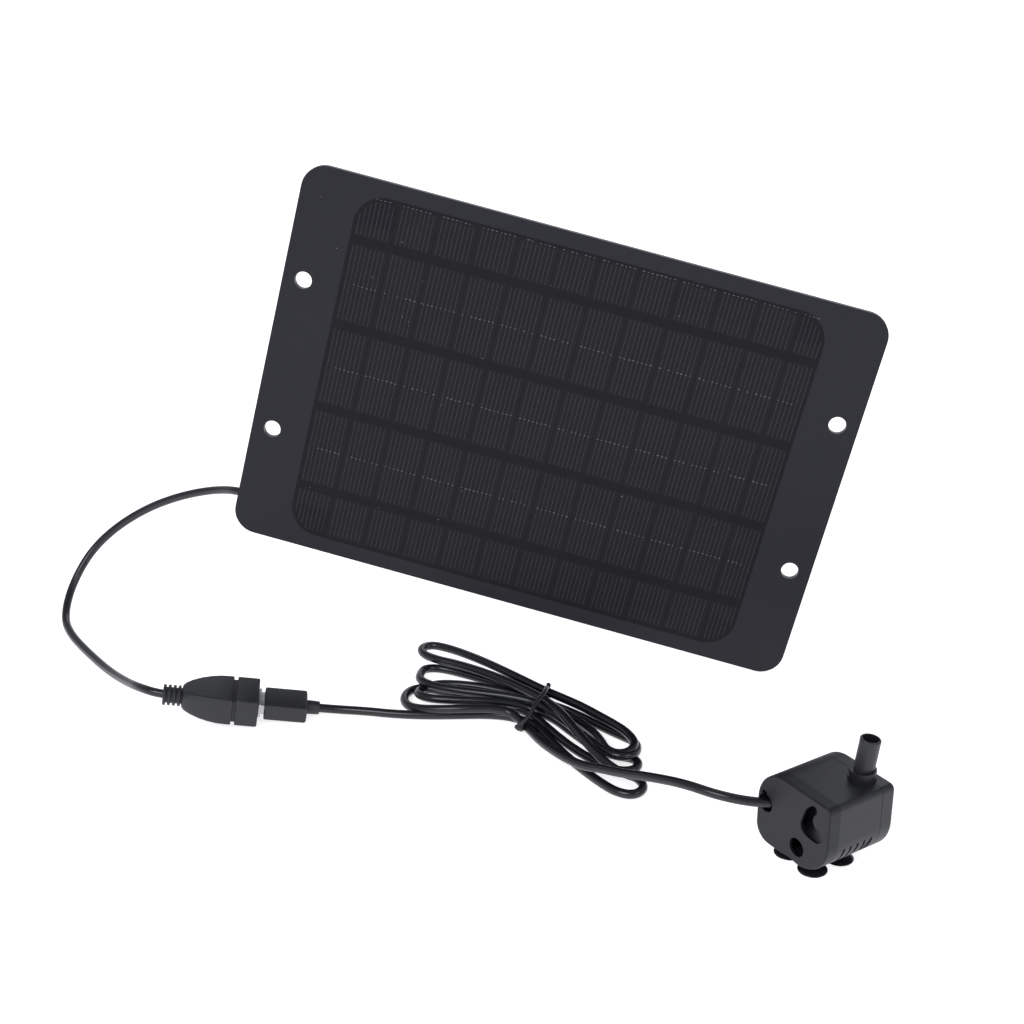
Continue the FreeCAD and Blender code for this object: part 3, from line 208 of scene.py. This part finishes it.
CERAMIC = surface("white_ceramic", 0.62, 0.74, 0.28)
CIRCUIT = surface("solder_mask", (0.012, 0.065, 0.025), (0.016, 0.085, 0.032), 0.32, blotch=200.0)
COMPONENT = surface("component_case", 0.012, 0.022, 0.45)
FERRITE = surface("ferrite", 0.035, 0.060, 0.55, blotch=300.0)
IMPELLER = surface("impeller_plastic", 0.55, 0.66, 0.38)
LAMINATION = stripes(surface("core_steel", 0.22, 0.30, 0.42, metallic=0.9), "X", 0.0005, 0.00005)

NODE_FINISH = {
    "front_film": FILM, "encapsulant": RESIN, "backing_board": BOARD, "solar_cells": CELL,
    "cell_ribbons": RIBBON, "junction_box": BOX_PLASTIC, "junction_box_lid": BOX_PLASTIC,
    "lid_screws": STEEL, "regulator_board": CIRCUIT, "regulator_inductor": FERRITE,
    "regulator_capacitor": COMPONENT, "regulator_chip": COMPONENT, "blocking_diode": COMPONENT,
    "cable_gland": MOULD, "socket_shell": STEEL, "socket_tongue": CERAMIC, "socket_contacts": GOLD,
    "plug_shell": STEEL, "plug_insulator": CERAMIC, "plug_contacts": GOLD, "pump_housing": CASING,
    "rear_plate": PLATE, "front_cover": COVER, "motor_case": CASING, "stator_core": LAMINATION,
    "stator_windings": COPPER, "driver_board": CIRCUIT, "potting_resin": RESIN, "rotor_magnet": FERRITE,
    "impeller": IMPELLER, "rotor_shaft": CERAMIC, "rear_shaft_seat": RUBBER, "front_shaft_seat": RUBBER,
    "impeller_chamber": CASING, "chamber_cap": CASING, "outlet_nozzle": SPOUT, "cable_boot": RUBBER,
    "suction_cup_1": RUBBER, "suction_cup_2": RUBBER, "suction_cup_3": RUBBER, "suction_cup_4": RUBBER,
    "socket_mould": MOULD, "plug_mould": MOULD, "panel_cable": CABLE, "pump_cable_plug_run": CABLE,
    "pump_cable_pump_run": CABLE, "cable_hank": CABLE, "cable_tie": TIE,
}
# How far each carried-over node's sharp edges are softened, in millimetres.
SOFT_EDGES = {
    "pump_housing": 0.40, "rear_plate": 0.40, "front_cover": 0.40, "impeller_chamber": 0.25,
    "outlet_nozzle": 0.20, "junction_box": 0.30, "junction_box_lid": 0.25, "chamber_cap": 0.15,
    "cable_gland": 0.15, "cable_boot": 0.15, "impeller": 0.12, "lid_screws": 0.10, "socket_shell": 0.10,
    "plug_shell": 0.10, "backing_board": 0.12, "motor_case": 0.15,
}


def finish_nodes():
    """Give every CAD node its material, soft edges and smooth shading."""
    for name, node in NODES.items():
        node.data.materials.clear()
        node.data.materials.append(NODE_FINISH[name])
        for polygon in node.data.polygons:
            polygon.use_smooth = True
        weld = node.modifiers.new("weld", "WELD")
        weld.merge_threshold = 0.000002
        if name in SOFT_EDGES:
            flat = node.modifiers.new("flat", "DECIMATE")
            flat.decimate_type = "DISSOLVE"
            flat.angle_limit = math.radians(1.0)
            bevel = node.modifiers.new("bevel", "BEVEL")
            bevel.width = SOFT_EDGES[name] * MM
            bevel.segments = 2
            bevel.limit_method = "ANGLE"
            bevel.angle_limit = math.radians(35.0)
            node.modifiers.new("normals", "WEIGHTED_NORMAL")
        else:
            smooth_by_angle(node, SHARP_ANGLE)


def smooth_by_angle(piece, angle):
    """Shade a piece smooth except across edges sharper than an angle, after its other modifiers."""
    split = piece.modifiers.new("edges", "EDGE_SPLIT")
    split.split_angle = math.radians(angle)
    split.use_edge_sharp = False


# ---------------------------------------------------------------- mesh helpers


def add_piece(name, body, material, vertices, faces, matrix=Matrix.Identity(4),
              angle=SHARP_ANGLE):
    """Make a mesh piece in a local frame given in millimetres, and let it ride on a body."""
    mesh = bpy.data.meshes.new(name)
    mesh.from_pydata([tuple(Vector(v) * MM) for v in vertices], [], faces)
    work = bmesh.new()
    work.from_mesh(mesh)
    bmesh.ops.remove_doubles(work, verts=work.verts, dist=1e-7)
    bmesh.ops.recalc_face_normals(work, faces=work.faces)
    work.to_mesh(mesh)
    work.free()
    for polygon in mesh.polygons:
        polygon.use_smooth = True
    mesh.materials.append(material)
    piece = bpy.data.objects.new(name, mesh)
    bpy.context.scene.collection.objects.link(piece)
    piece.matrix_world = matrix
    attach(piece, body)
    if angle:
        smooth_by_angle(piece, angle)
    return piece


class Build:
    """Collects the vertices and faces of one mesh."""

    def __init__(self):
        self.vertices = []
        self.faces = []

    def loops(self, loops, close_first=True, close_last=True):
        """Join closed loops of equal length into a skin and close its ends."""
        starts = []
        for loop in loops:
            starts.append(len(self.vertices))
            self.vertices.extend(loop)
        count = len(loops[0])
        for first, second in zip(starts, starts[1:]):
            for index in range(count):
                after = (index + 1) % count
                self.faces.append((first + index, first + after, second + after, second + index))
        if close_first:
            self.faces.append(tuple(range(starts[0] + count - 1, starts[0] - 1, -1)))
        if close_last:
            self.faces.append(tuple(range(starts[-1], starts[-1] + count)))

    def box(self, low, high):
        """Add a box between two corners."""
        (x0, y0, z0), (x1, y1, z1) = low, high
        self.loops([
            [(x0, y0, z0), (x1, y0, z0), (x1, y0, z1), (x0, y0, z1)],
            [(x0, y1, z0), (x1, y1, z0), (x1, y1, z1), (x0, y1, z1)],
        ])

    def lathe(self, profile, turn, segments=48, closed=False):
        """Turn a profile of radius and height pairs about an axis; turn places each point."""
        rings = []
        for radius, height in profile:
            rings.append([
                turn(radius * math.cos(2 * math.pi * k / segments),
                     radius * math.sin(2 * math.pi * k / segments), height)
                for k in range(segments)
            ])
        if closed:
            rings.append(rings[0])
        self.loops(rings, not closed, not closed)


def upright(x, y, z):
    """Keep a turned point's axis along Z."""
    return (x, y, z)


def along_x(x, y, z):
    """Lay a turned point's axis along X."""
    return (z, x, y)


def rounded_rectangle(half_w, half_h, radius, steps=6):
    """Return the points of a rounded rectangle centred on the origin."""
    radius = max(min(radius, half_w - 0.01, half_h - 0.01), 0.01)
    points = []
    for quarter, (cx, cy) in enumerate([(1, 1), (-1, 1), (-1, -1), (1, -1)]):
        for step in range(steps + 1):
            angle = math.radians(90 * quarter + 90 * step / steps)
            points.append((cx * (half_w - radius) + radius * math.cos(angle),
                           cy * (half_h - radius) + radius * math.sin(angle)))
    return points


# ---------------------------------------------------------------- cables

GLAND = local(BOX, -26.0, 5.6, -4.5)
PANEL_CABLE = [
    GLAND, local(BOX, -43.2, 5.6, -4.5),
    *in_metres([
        (-268.0, 203.4, 69.6), (-287.0, 212.0, 62.8), (-306.5, 219.0, 53.0), (-325.0, 221.8, 40.5),
        (-338.5, 218.3, 28.0), (-347.0, 207.5, 13.5), (-347.8, 192.5, 4.0), (-341.5, 178.5, 2.2),
        (-329.0, 160.0, 2.2), (-314.5, 138.5, 4.2), (-302.0, 119.0, 9.4), (-291.3, 102.8, 15.0),
    ]),
    local(CONNECTOR, -43.7, 0, 0), local(CONNECTOR, -34.3, 0, 0),
]
CABLE_SEAT = local(PUMP, -12.4, -12.0, 20.6)
# The run from the pump to the hank, from the cable's seat outwards.
PUMP_RUN = [
    CABLE_SEAT, local(PUMP, -17.0, -20.0, 21.0),
    *in_metres([(-41.5, 2.3, 23.2), (-54.8, 11.9, 22.8), (-67.5, 24.4, 18.0), (-79.5, 36.2, 12.6),
                (-87.0, 43.4, 10.2)]),
]
# The hank in its own frame: along it, across it and up, pass after pass and fold after fold. It is
# a list of points, one after another; no loop works out its turns.
HANK_TURNS = [
    # along the near edge and through the waist
    (47, -27.6, 7.8), (37, -25.8, 6.6), (26.5, -22, 5.2), (15, -16.6, 3.6), (4, -9.7, 2.4),
    # over the plug run, round the nearest left fold and back
    (-8.5, -5.6, 4.4), (-15.5, -11, 6.4), (-22.5, -17.6, 7), (-32.5, -24.2, 6.2), (-44.1, -28.2, 4),
    (-53, -27.2, 2.6), (-59.4, -21, 2.3), (-60.4, -13, 2.2), (-55, -8.4, 2.2), (-41.5, -5.2, 2.2),
    (-27.7, -0.9, 2.2), (-13.8, 2, 2.2), (-1.3, 1.2, 2.2),
    # the low right fold
    (14, -5.6, 2.2), (29, -11.2, 2.2), (43.5, -14.4, 2.2), (55, -15.2, 2.3), (61, -11.2, 2.5),
    (60.2, -5, 2.7), (55, -2.4, 2.4), (48, -5.4, 2.3), (38, -5.8, 2.2), (23.2, -1.2, 2.2), (8, 4.4, 2.2),
    (-3.3, 4.9, 2.3),
    # the second left fold
    (-12, 0.2, 5.2), (-21.6, -7.4, 6.4), (-33.2, -15, 6.4), (-42.8, -20.4, 6.2), (-51.5, -20.2, 5.2),
    (-55.4, -14.4, 3.6), (-56, -7.6, 2.4), (-53, -1.6, 2.2), (-45, 3.4, 2.2), (-35.8, 7.4, 2.2),
    (-21.7, 11.5, 2.2), (-8.2, 12.4, 2.2),
    # the outer right fold
    (3, 14, 2.2), (16.2, 13.4, 2.3), (31.1, 10.6, 2.6), (42.6, 8.8, 3.2), (51.5, 6.4, 4.4),
    (57.2, -2.8, 5.6), (55, -9.8, 6.5), (47.5, -11.4, 6.6), (34, -6.6, 6.3), (16.3, 0.6, 6),
    (-1.7, 5.9, 6.2),
    # the third left fold
    (-14, 1.6, 7.2), (-26, -3.4, 7), (-39.1, -8.3, 6.6), (-50, -11, 6.2), (-59.5, -9.6, 5.6),
    (-64.2, -3, 4.6), (-66.8, 3.4, 3.4), (-63, 8.8, 2.6), (-54, 11.6, 2.3), (-38.8, 13.6, 2.2),
    (-22.5, 15.6, 2.4), (-9, 13.6, 5),
    # the short right fold inside the outer one
    (2.5, 10.6, 3.6), (14.5, 10.2, 2.4), (28, 5.4, 2.8), (37.2, -1, 4), (44.2, -7.6, 5.4),
    (51.4, -9.4, 6.3), (55.6, -4.4, 7),
    (53.2, 2, 7.6), (46, 6.4, 7.8), (38, 9, 7.6), (29.4, 11, 7.4), (17.8, 13.6, 7.2), (7.5, 14.9, 7),
    (-6.1, 15.9, 6.8),
    # the far left fold, on top of the others
    (-25, 18.4, 7), (-43.3, 20.4, 7.2), (-58.5, 21.2, 7), (-69, 21, 6.6), (-76, 19.2, 6.4),
    (-77.6, 13.2, 6.6), (-71.8, 8.6, 7), (-63, 8.4, 7.2), (-53.2, 10.8, 7.2), (-36.2, 12.6, 7),
    (-19.6, 12, 6.8),
    (-2.2, 9, 7.4),
    # slantwise over the right half, round the near right fold and back to the waist
    (14, 0.8, 9.8), (30, -8.8, 9.4), (45, -16.8, 8.4), (55.8, -20, 6.6), (62.5, -18.3, 4.8),
    (66.4, -15.4, 3.2), (72.4, -19.4, 2.5), (71.6, -26.4, 2.2), (64, -28.9, 2.2), (52.2, -26.1, 2.2),
    (37.4, -21, 2.2), (22, -14.2, 2.2), (5, -5.2, 2.2),
    # towards the plug
    (-8.6, -5.6, 2.2),
]
# The run from the hank to the plug.
PLUG_RUN = [
    *in_metres([(-136.2, 101.5, 2.2), (-150.0, 100.9, 2.2), (-164.0, 100.7, 2.2), (-178.0, 101.9, 2.2),
                (-190.5, 104.4, 2.2)]),
    local(CONNECTOR, 34.7, 0, 0), local(CONNECTOR, 27.7, 0, 0),
]
PUMP_CABLE = PUMP_RUN + [local(HANK, *point) for point in HANK_TURNS] + PLUG_RUN


def spline_length(piece):
    """Measure a curve's length on its own smooth line."""
    bare = piece.copy()
    bare.data = piece.data.copy()
    bare.data.bevel_depth = 0.0
    bpy.context.scene.collection.objects.link(bare)
    bpy.context.view_layer.update()
    evaluated = bare.evaluated_get(bpy.context.evaluated_depsgraph_get())
    mesh = bpy.data.meshes.new_from_object(evaluated)
    points = [vertex.co.copy() for vertex in mesh.vertices]
    bpy.data.meshes.remove(mesh)
    bpy.data.objects.remove(bare)
    return sum((b - a).length for a, b in zip(points, points[1:]))


def new_tube(name, radius, resolution, roundness, material):
    """Make an empty curve that its splines turn into round tubes."""
    curve = bpy.data.curves.new(name, "CURVE")
    curve.dimensions = "3D"
    curve.resolution_u = resolution
    curve.bevel_depth = radius
    curve.bevel_resolution = roundness
    curve.use_fill_caps = True
    curve.materials.append(material)
    return curve


def add_spline(curve, points, cyclic=False):
    """Add one smooth NURBS spline; its order and ends are set after its points."""
    spline = curve.splines.new("NURBS")
    spline.points.add(len(points) - 1)
    for point, place_at in zip(spline.points, points):
        point.co = (*place_at, 1.0)
    spline.order_u = 3
    spline.use_cyclic_u = cyclic
    spline.use_endpoint_u = not cyclic


def place_tube(curve, body):
    """Put a curve in the scene as a piece of cable that rides on a body."""
    piece = bpy.data.objects.new(curve.name, curve)
    bpy.context.scene.collection.objects.link(piece)
    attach(piece, body)
    return piece


def make_cable(name, route, body):
    """Make one cable as a smooth round tube on its route."""
    curve = new_tube(name, CABLE_DIAMETER / 2, 12, 6, CABLE)
    add_spline(curve, route)
    return place_tube(curve, body)


panel_cable = make_cable("panel_cable_sheath", PANEL_CABLE, "panel_unit")
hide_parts("panel_cable")
pump_cable = make_cable("pump_cable_sheath", PUMP_CABLE, "pump_unit")
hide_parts("pump_cable_plug_run", "pump_cable_pump_run", "cable_hank")


TIE_RADIUS = 0.00105


def make_tie():
    """Make the sleeved wire tie: a snug loop round the waist and its twisted ends."""
    ring = [
        (-4.6, 16.8, 7.6), (-3.4, 14.4, 10.2), (0.4, 8.0, 12.0), (2.2, -1.0, 11.4), (3.4, -9.0, 7.4),
        (1.8, -12.6, 4.8), (1.2, -12.4, 1.2), (0.0, -2.0, 0.9), (-3.0, 12.0, 0.9), (-4.8, 17.4, 2.6),
    ]
    tails = [
        [(1.6, -11.8, 5.0), (1.2, -12.8, 4.4), (0.2, -13.4, 3.6), (-0.6, -12.4, 2.8)],
        [(2.0, -11.6, 4.2), (2.2, -13.2, 3.6), (1.0, -13.8, 3.0), (0.4, -13.2, 3.8)],
        [(-4.2, 16.4, 7.6), (-4.8, 17.2, 8.8), (-4.2, 17.0, 10.0)],
    ]
    curve = new_tube("tie_loop", TIE_RADIUS, 8, 4, TIE)
    for points in [ring, *tails]:
        add_spline(curve, [local(HANK, *point) for point in points], points is ring)
    piece = place_tube(curve, "pump_unit")
    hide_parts("cable_tie")


make_tie()

# ---------------------------------------------------------------- panel face

# All in the panel's own frame, in millimetres; smaller depths are nearer the front.
FRONT = -1.65
CELL_DEPTHS = (FRONT - 0.05, FRONT - 0.02)
FINGER_DEPTHS = (FRONT - 0.065, FRONT - 0.045)
DOT_DEPTHS = (FRONT - 0.075, FRONT - 0.05)
SPECK_DEPTHS = (FRONT - 0.07, FRONT + 0.02)
WINDOW_HALF = (108.7, 83.0)
WINDOW_BORDER = 1.6
CELL_COLUMNS = 12
CELL_PITCH = 18.45
CELL_SHIFT = 2.4
CELL_HALF = 8.9
FINGERS_PER_CELL = 8
FINGER_START = -7.2
FINGER_PITCH = 2.02
FINGER_HALF = 0.13
# The heights of the busbars, and of the dark bands between the rows of cells.
BUSBARS = (81.5, 40.7, 0.6, -39.8)
BANDS = (61.3, 21.0, -19.4, -59.3)
# How far a cell and a silver line stop short of the window's edge and of a band.
CELL_GAPS = (0.0, 2.0)
FINGER_GAPS = (1.0, 2.5)
MISSING_DOTS = 0.12
SPECKS = 26


def flat_sheet(build, outline, front, back):
    """Add a thin sheet with that outline between two depths of the panel."""
    build.loops([[(x, back, z) for x, z in outline], [(x, front, z) for x, z in outline]])


def column_middles():
    """Return the middle of each column of cells, from left to right."""
    return [(column - (CELL_COLUMNS - 1) / 2) * CELL_PITCH + CELL_SHIFT for column in range(CELL_COLUMNS)]


def finger_places(middle):
    """Return where the silver lines of one column stand."""
    return [middle + FINGER_START + line * FINGER_PITCH for line in range(FINGERS_PER_CELL)]


def row_spans(half_z, reach, gaps):
    """Return the bottom and top of each row in a column that reaches so far up and down."""
    at_edge, at_band = gaps
    limits = [half_z, *BANDS, -half_z]
    spans = []
    for row, (top, low) in enumerate(zip(limits, limits[1:])):
        upper = top - (at_band if row else at_edge)
        lower = low + (at_band if row < len(BANDS) else at_edge)
        spans.append((max(lower, -reach), min(upper, reach)))
    return spans


def make_panel_face():
    """Make the laminated window, the cells under the film and their silver lines."""
    window = Build()
    flat_sheet(window, rounded_rectangle(*WINDOW_HALF, 14.0, 12), FRONT - 0.03, FRONT + 0.05)
    add_piece("cell_window_sheet", "panel_unit", WINDOW, window.vertices, window.faces, PANEL)
    half_x, half_z = (half - WINDOW_BORDER for half in WINDOW_HALF)
    cells = Build()
    fingers = Build()
    for middle in column_middles():
        left, right = max(middle - CELL_HALF, -half_x), min(middle + CELL_HALF, half_x)
        reach = half_z - rounded_corner_limit(left, right, half_x)
        for low, high in row_spans(half_z, reach, CELL_GAPS):
            cells.box((left, CELL_DEPTHS[0], low), (right, CELL_DEPTHS[1], high))
        for x in finger_places(middle):
            if abs(x) > half_x:
                continue
            reach = half_z - rounded_corner_limit(x, x, half_x)
            for low, high in row_spans(half_z, reach, FINGER_GAPS):
                front, back = FINGER_DEPTHS
                fingers.box((x - FINGER_HALF, front, low), (x + FINGER_HALF, back, high))
    add_piece("cell_tiles", "panel_unit", CELL, cells.vertices, cells.faces, PANEL)
    add_piece("silver_fingers", "panel_unit", FINGER, fingers.vertices, fingers.faces, PANEL)


def rounded_corner_limit(left, right, half_x, radius=12.5):
    """Return how much a column loses at its ends to the window's rounded corners."""
    outer = max(abs(left), abs(right))
    into = outer - (half_x - radius)
    if into <= 0:
        return 0.0
    into = min(into, radius)
    return radius - math.sqrt(max(radius * radius - into * into, 0.0))


def add_dot(build, x, z, half_x, half_z, radius, depths):
    """Add one small rounded dot to the panel's face."""
    outline = rounded_rectangle(half_x, half_z, radius, 2)
    flat_sheet(build, [(x + a, z + b) for a, b in outline], *depths)


def make_busbar_dots():
    """Make the solder dots along each busbar, about one at each silver line, and a few specks."""
    random.seed(7)
    dots = Build()
    for height in BUSBARS:
        for middle in column_middles():
            for place_at in finger_places(middle):
                x = place_at + random.uniform(-0.15, 0.15)
                if abs(x) > WINDOW_HALF[0] - 5:
                    continue
                if random.random() < MISSING_DOTS:
                    continue
                half = random.uniform(0.28, 0.62)
                z = height + random.uniform(-0.12, 0.12)
                add_dot(dots, x, z, half, 0.17, 0.15, DOT_DEPTHS)
    for _ in range(SPECKS):
        x = random.uniform(-128, 128)
        z = random.uniform(-84, 84)
        add_dot(dots, x, z, random.uniform(0.12, 0.3), random.uniform(0.12, 0.3), 0.1, SPECK_DEPTHS)
    add_piece("solder_dots", "panel_unit", SOLDER, dots.vertices, dots.faces, PANEL, 0)


make_panel_face()
make_busbar_dots()

# ---------------------------------------------------------------- socket and plug


def connector_loop(x, half_w, half_t, radius):
    """Return one section of a connector's moulded body."""
    return [(x, y, z) for y, z in rounded_rectangle(half_w, half_t, radius, 6)]


def make_socket():
    """Make the socket's bullet-shaped mould, its groove, mouth and ribbed relief."""
    body = Build()
    sections = [
        (-34.3, 3.9, 3.6, 3.0), (-34.1, 4.9, 4.3, 3.2), (-33.0, 6.0, 4.9, 2.9), (-30.0, 7.7, 5.5, 2.4),
        (-26.0, 9.2, 6.0, 1.8), (-22.0, 10.2, 6.3, 1.4), (-18.0, 10.8, 6.5, 1.1), (-14.0, 10.95, 6.55, 1.0),
        (-12.1, 10.95, 6.5, 0.9), (-11.75, 10.8, 6.35, 0.8), (-11.6, 9.8, 5.35, 0.6),
        (-10.1, 9.8, 5.35, 0.6), (-9.95, 10.8, 6.35, 0.8), (-9.6, 10.95, 6.5, 0.9),
        (-0.7, 10.95, 6.5, 0.9), (-0.3, 10.85, 6.4, 0.9), (-0.08, 10.6, 6.15, 0.8), (0.0, 10.3, 5.9, 0.8),
        (0.0, 6.9, 3.2, 0.5), (-0.15, 6.65, 2.95, 0.4), (-1.6, 6.6, 2.9, 0.4),
    ]
    body.loops([connector_loop(*section) for section in sections], False, False)
    for index in range(4):
        start = -42.7 + 2.2 * index
        profile = [(3.5, start), (4.45, start), (4.7, start + 0.22), (4.7, start + 1.08), (4.45, start + 1.3),
                   (3.5, start + 1.3)]
        body.lathe(profile, along_x, 40)
    body.lathe([(2.05, -42.6), (3.3, -42.6), (3.6, -42.2), (3.6, -34.0)], along_x, 40)
    piece = add_piece("socket_grip", "panel_unit", MOULD, body.vertices, body.faces, CONNECTOR)
    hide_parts("socket_mould")
    return piece


def make_plug():
    """Make the plug's grip with softened edges, its face round the shell and its short relief."""
    body = Build()
    sections = [
        (4.3, 6.05, 2.3, 0.3), (2.85, 6.1, 2.35, 0.3), (2.7, 6.3, 2.55, 0.4), (2.7, 7.3, 3.1, 1.0),
        (2.8, 7.85, 3.6, 0.8), (3.1, 8.1, 3.85, 0.8), (3.8, 8.15, 3.9, 0.8), (20.8, 8.15, 3.9, 0.8),
        (21.4, 8.05, 3.8, 0.9), (21.75, 7.75, 3.5, 1.0), (21.9, 7.2, 3.0, 1.2), (21.9, 3.1, 2.9, 1.2),
    ]
    body.loops([connector_loop(*section) for section in sections], False, False)
    body.lathe([(2.6, 21.6), (3.2, 21.8), (3.2, 22.4), (3.08, 25.4), (3.0, 27.2), (2.8, 27.6), (2.05, 27.7)],
               along_x, 40)
    piece = add_piece("plug_grip", "pump_unit", MOULD, body.vertices, body.faces, CONNECTOR)
    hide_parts("plug_mould")
    return piece


socket_grip = make_socket()
plug_grip = make_plug()

# ---------------------------------------------------------------- pump details


def make_cups():
    """Make each suction cup with its thin lip, neck and button."""
    profile = [
        (0.0, 1.45), (1.6, 1.35), (3.4, 0.75), (5.0, 0.2), (5.75, 0.02), (5.95, 0.05), (6.0, 0.2),
        (5.8, 0.45), (4.9, 0.85), (3.9, 1.25), (3.0, 1.65), (2.45, 1.95), (2.3, 2.2), (1.75, 2.25),
        (1.75, 6.1), (2.4, 6.25), (2.45, 6.4), (1.9, 7.0), (1.2, 7.38), (0.0, 7.4),
    ]
    for number, (x, y) in enumerate([(7.0, -10.8), (7.0, 3.2), (-7.0, -10.8), (-7.0, 3.2)], start=1):
        cup = Build()
        cup.lathe(profile, upright, 56)
        at = PUMP @ Matrix.Translation(Vector((x, y, 0)) * MM)
        piece = add_piece(f"cup_{number}", "pump_unit", RUBBER, cup.vertices, cup.faces, at, 50.0)
        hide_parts(f"suction_cup_{number}")


make_cups()

finish_nodes()

# ---------------------------------------------------------------- cord lengths, measured and not kept

spline_length(panel_cable)
spline_length(pump_cable)

# ---------------------------------------------------------------- floor and light


def make_floor():
    """Make the plain pale floor, lit from within a little so that shadows stay faint."""
    mesh = bpy.data.meshes.new("floor")
    reach = 9.0
    mesh.from_pydata([(-reach, -reach, 0), (reach, -reach, 0), (reach, reach, 0), (-reach, reach, 0)], [],
                     [(0, 1, 2, 3)])
    floor = bpy.data.objects.new("floor", mesh)
    floor.location = (0, 0, -0.0002)
    bpy.context.scene.collection.objects.link(floor)
    material = bpy.data.materials.new("floor_paper")
    material.use_nodes = True
    shader = material.node_tree.nodes["Principled BSDF"]
    shader.inputs["Base Color"].default_value = (0.86, 0.86, 0.86, 1.0)
    shader.inputs["Roughness"].default_value = 0.9
    shader.inputs["Specular IOR Level"].default_value = 0.1
    shader.inputs["Emission Color"].default_value = (1.0, 1.0, 1.0, 1.0)
    shader.inputs["Emission Strength"].default_value = 0.74
    mesh.materials.append(material)


def add_light(name, at, target, size, power):
    """Add a soft square lamp that looks at a point."""
    data = bpy.data.lights.new(name, "AREA")
    data.size = size
    data.energy = power
    data.color = (0.93, 0.95, 1.0)
    lamp = bpy.data.objects.new(name, data)
    lamp.location = at
    lamp.rotation_euler = (Vector(target) - Vector(at)).to_track_quat("-Z", "Y").to_euler()
    bpy.context.scene.collection.objects.link(lamp)


def make_world():
    """Make an even pale surround, brighter at the horizon than overhead."""
    world = bpy.data.worlds.new("surround")
    bpy.context.scene.world = world
    world.use_nodes = True
    tree = Nodes(world.node_tree)
    background = world.node_tree.nodes["Background"]
    coordinates = tree.add("ShaderNodeTexCoord")
    split = tree.add("ShaderNodeSeparateXYZ")
    tree.link(coordinates, "Generated", split, "Vector")
    ramp = tree.add("ShaderNodeValToRGB")
    ramp.color_ramp.elements[0].position = 0.0
    ramp.color_ramp.elements[0].color = coloured((0.90, 0.92, 1.0))
    ramp.color_ramp.elements[1].position = 0.9
    ramp.color_ramp.elements[1].color = coloured((0.38, 0.39, 0.45))
    tree.link(split, "Z", ramp, "Fac")
    tree.link(ramp, "Color", background, "Color")
    background.inputs["Strength"].default_value = 0.75


make_floor()
make_world()
add_light("key", (-0.9, -1.1, 1.3), (-0.1, 0.1, 0.05), 0.9, 14.0)
add_light("fill", (1.0, -0.9, 0.9), (0.0, 0.0, 0.03), 0.8, 5.0)
add_light("back", (0.1, 1.3, 1.1), (-0.1, 0.1, 0.05), 0.9, 5.0)

bpy.context.scene.view_settings.view_transform = "Standard"
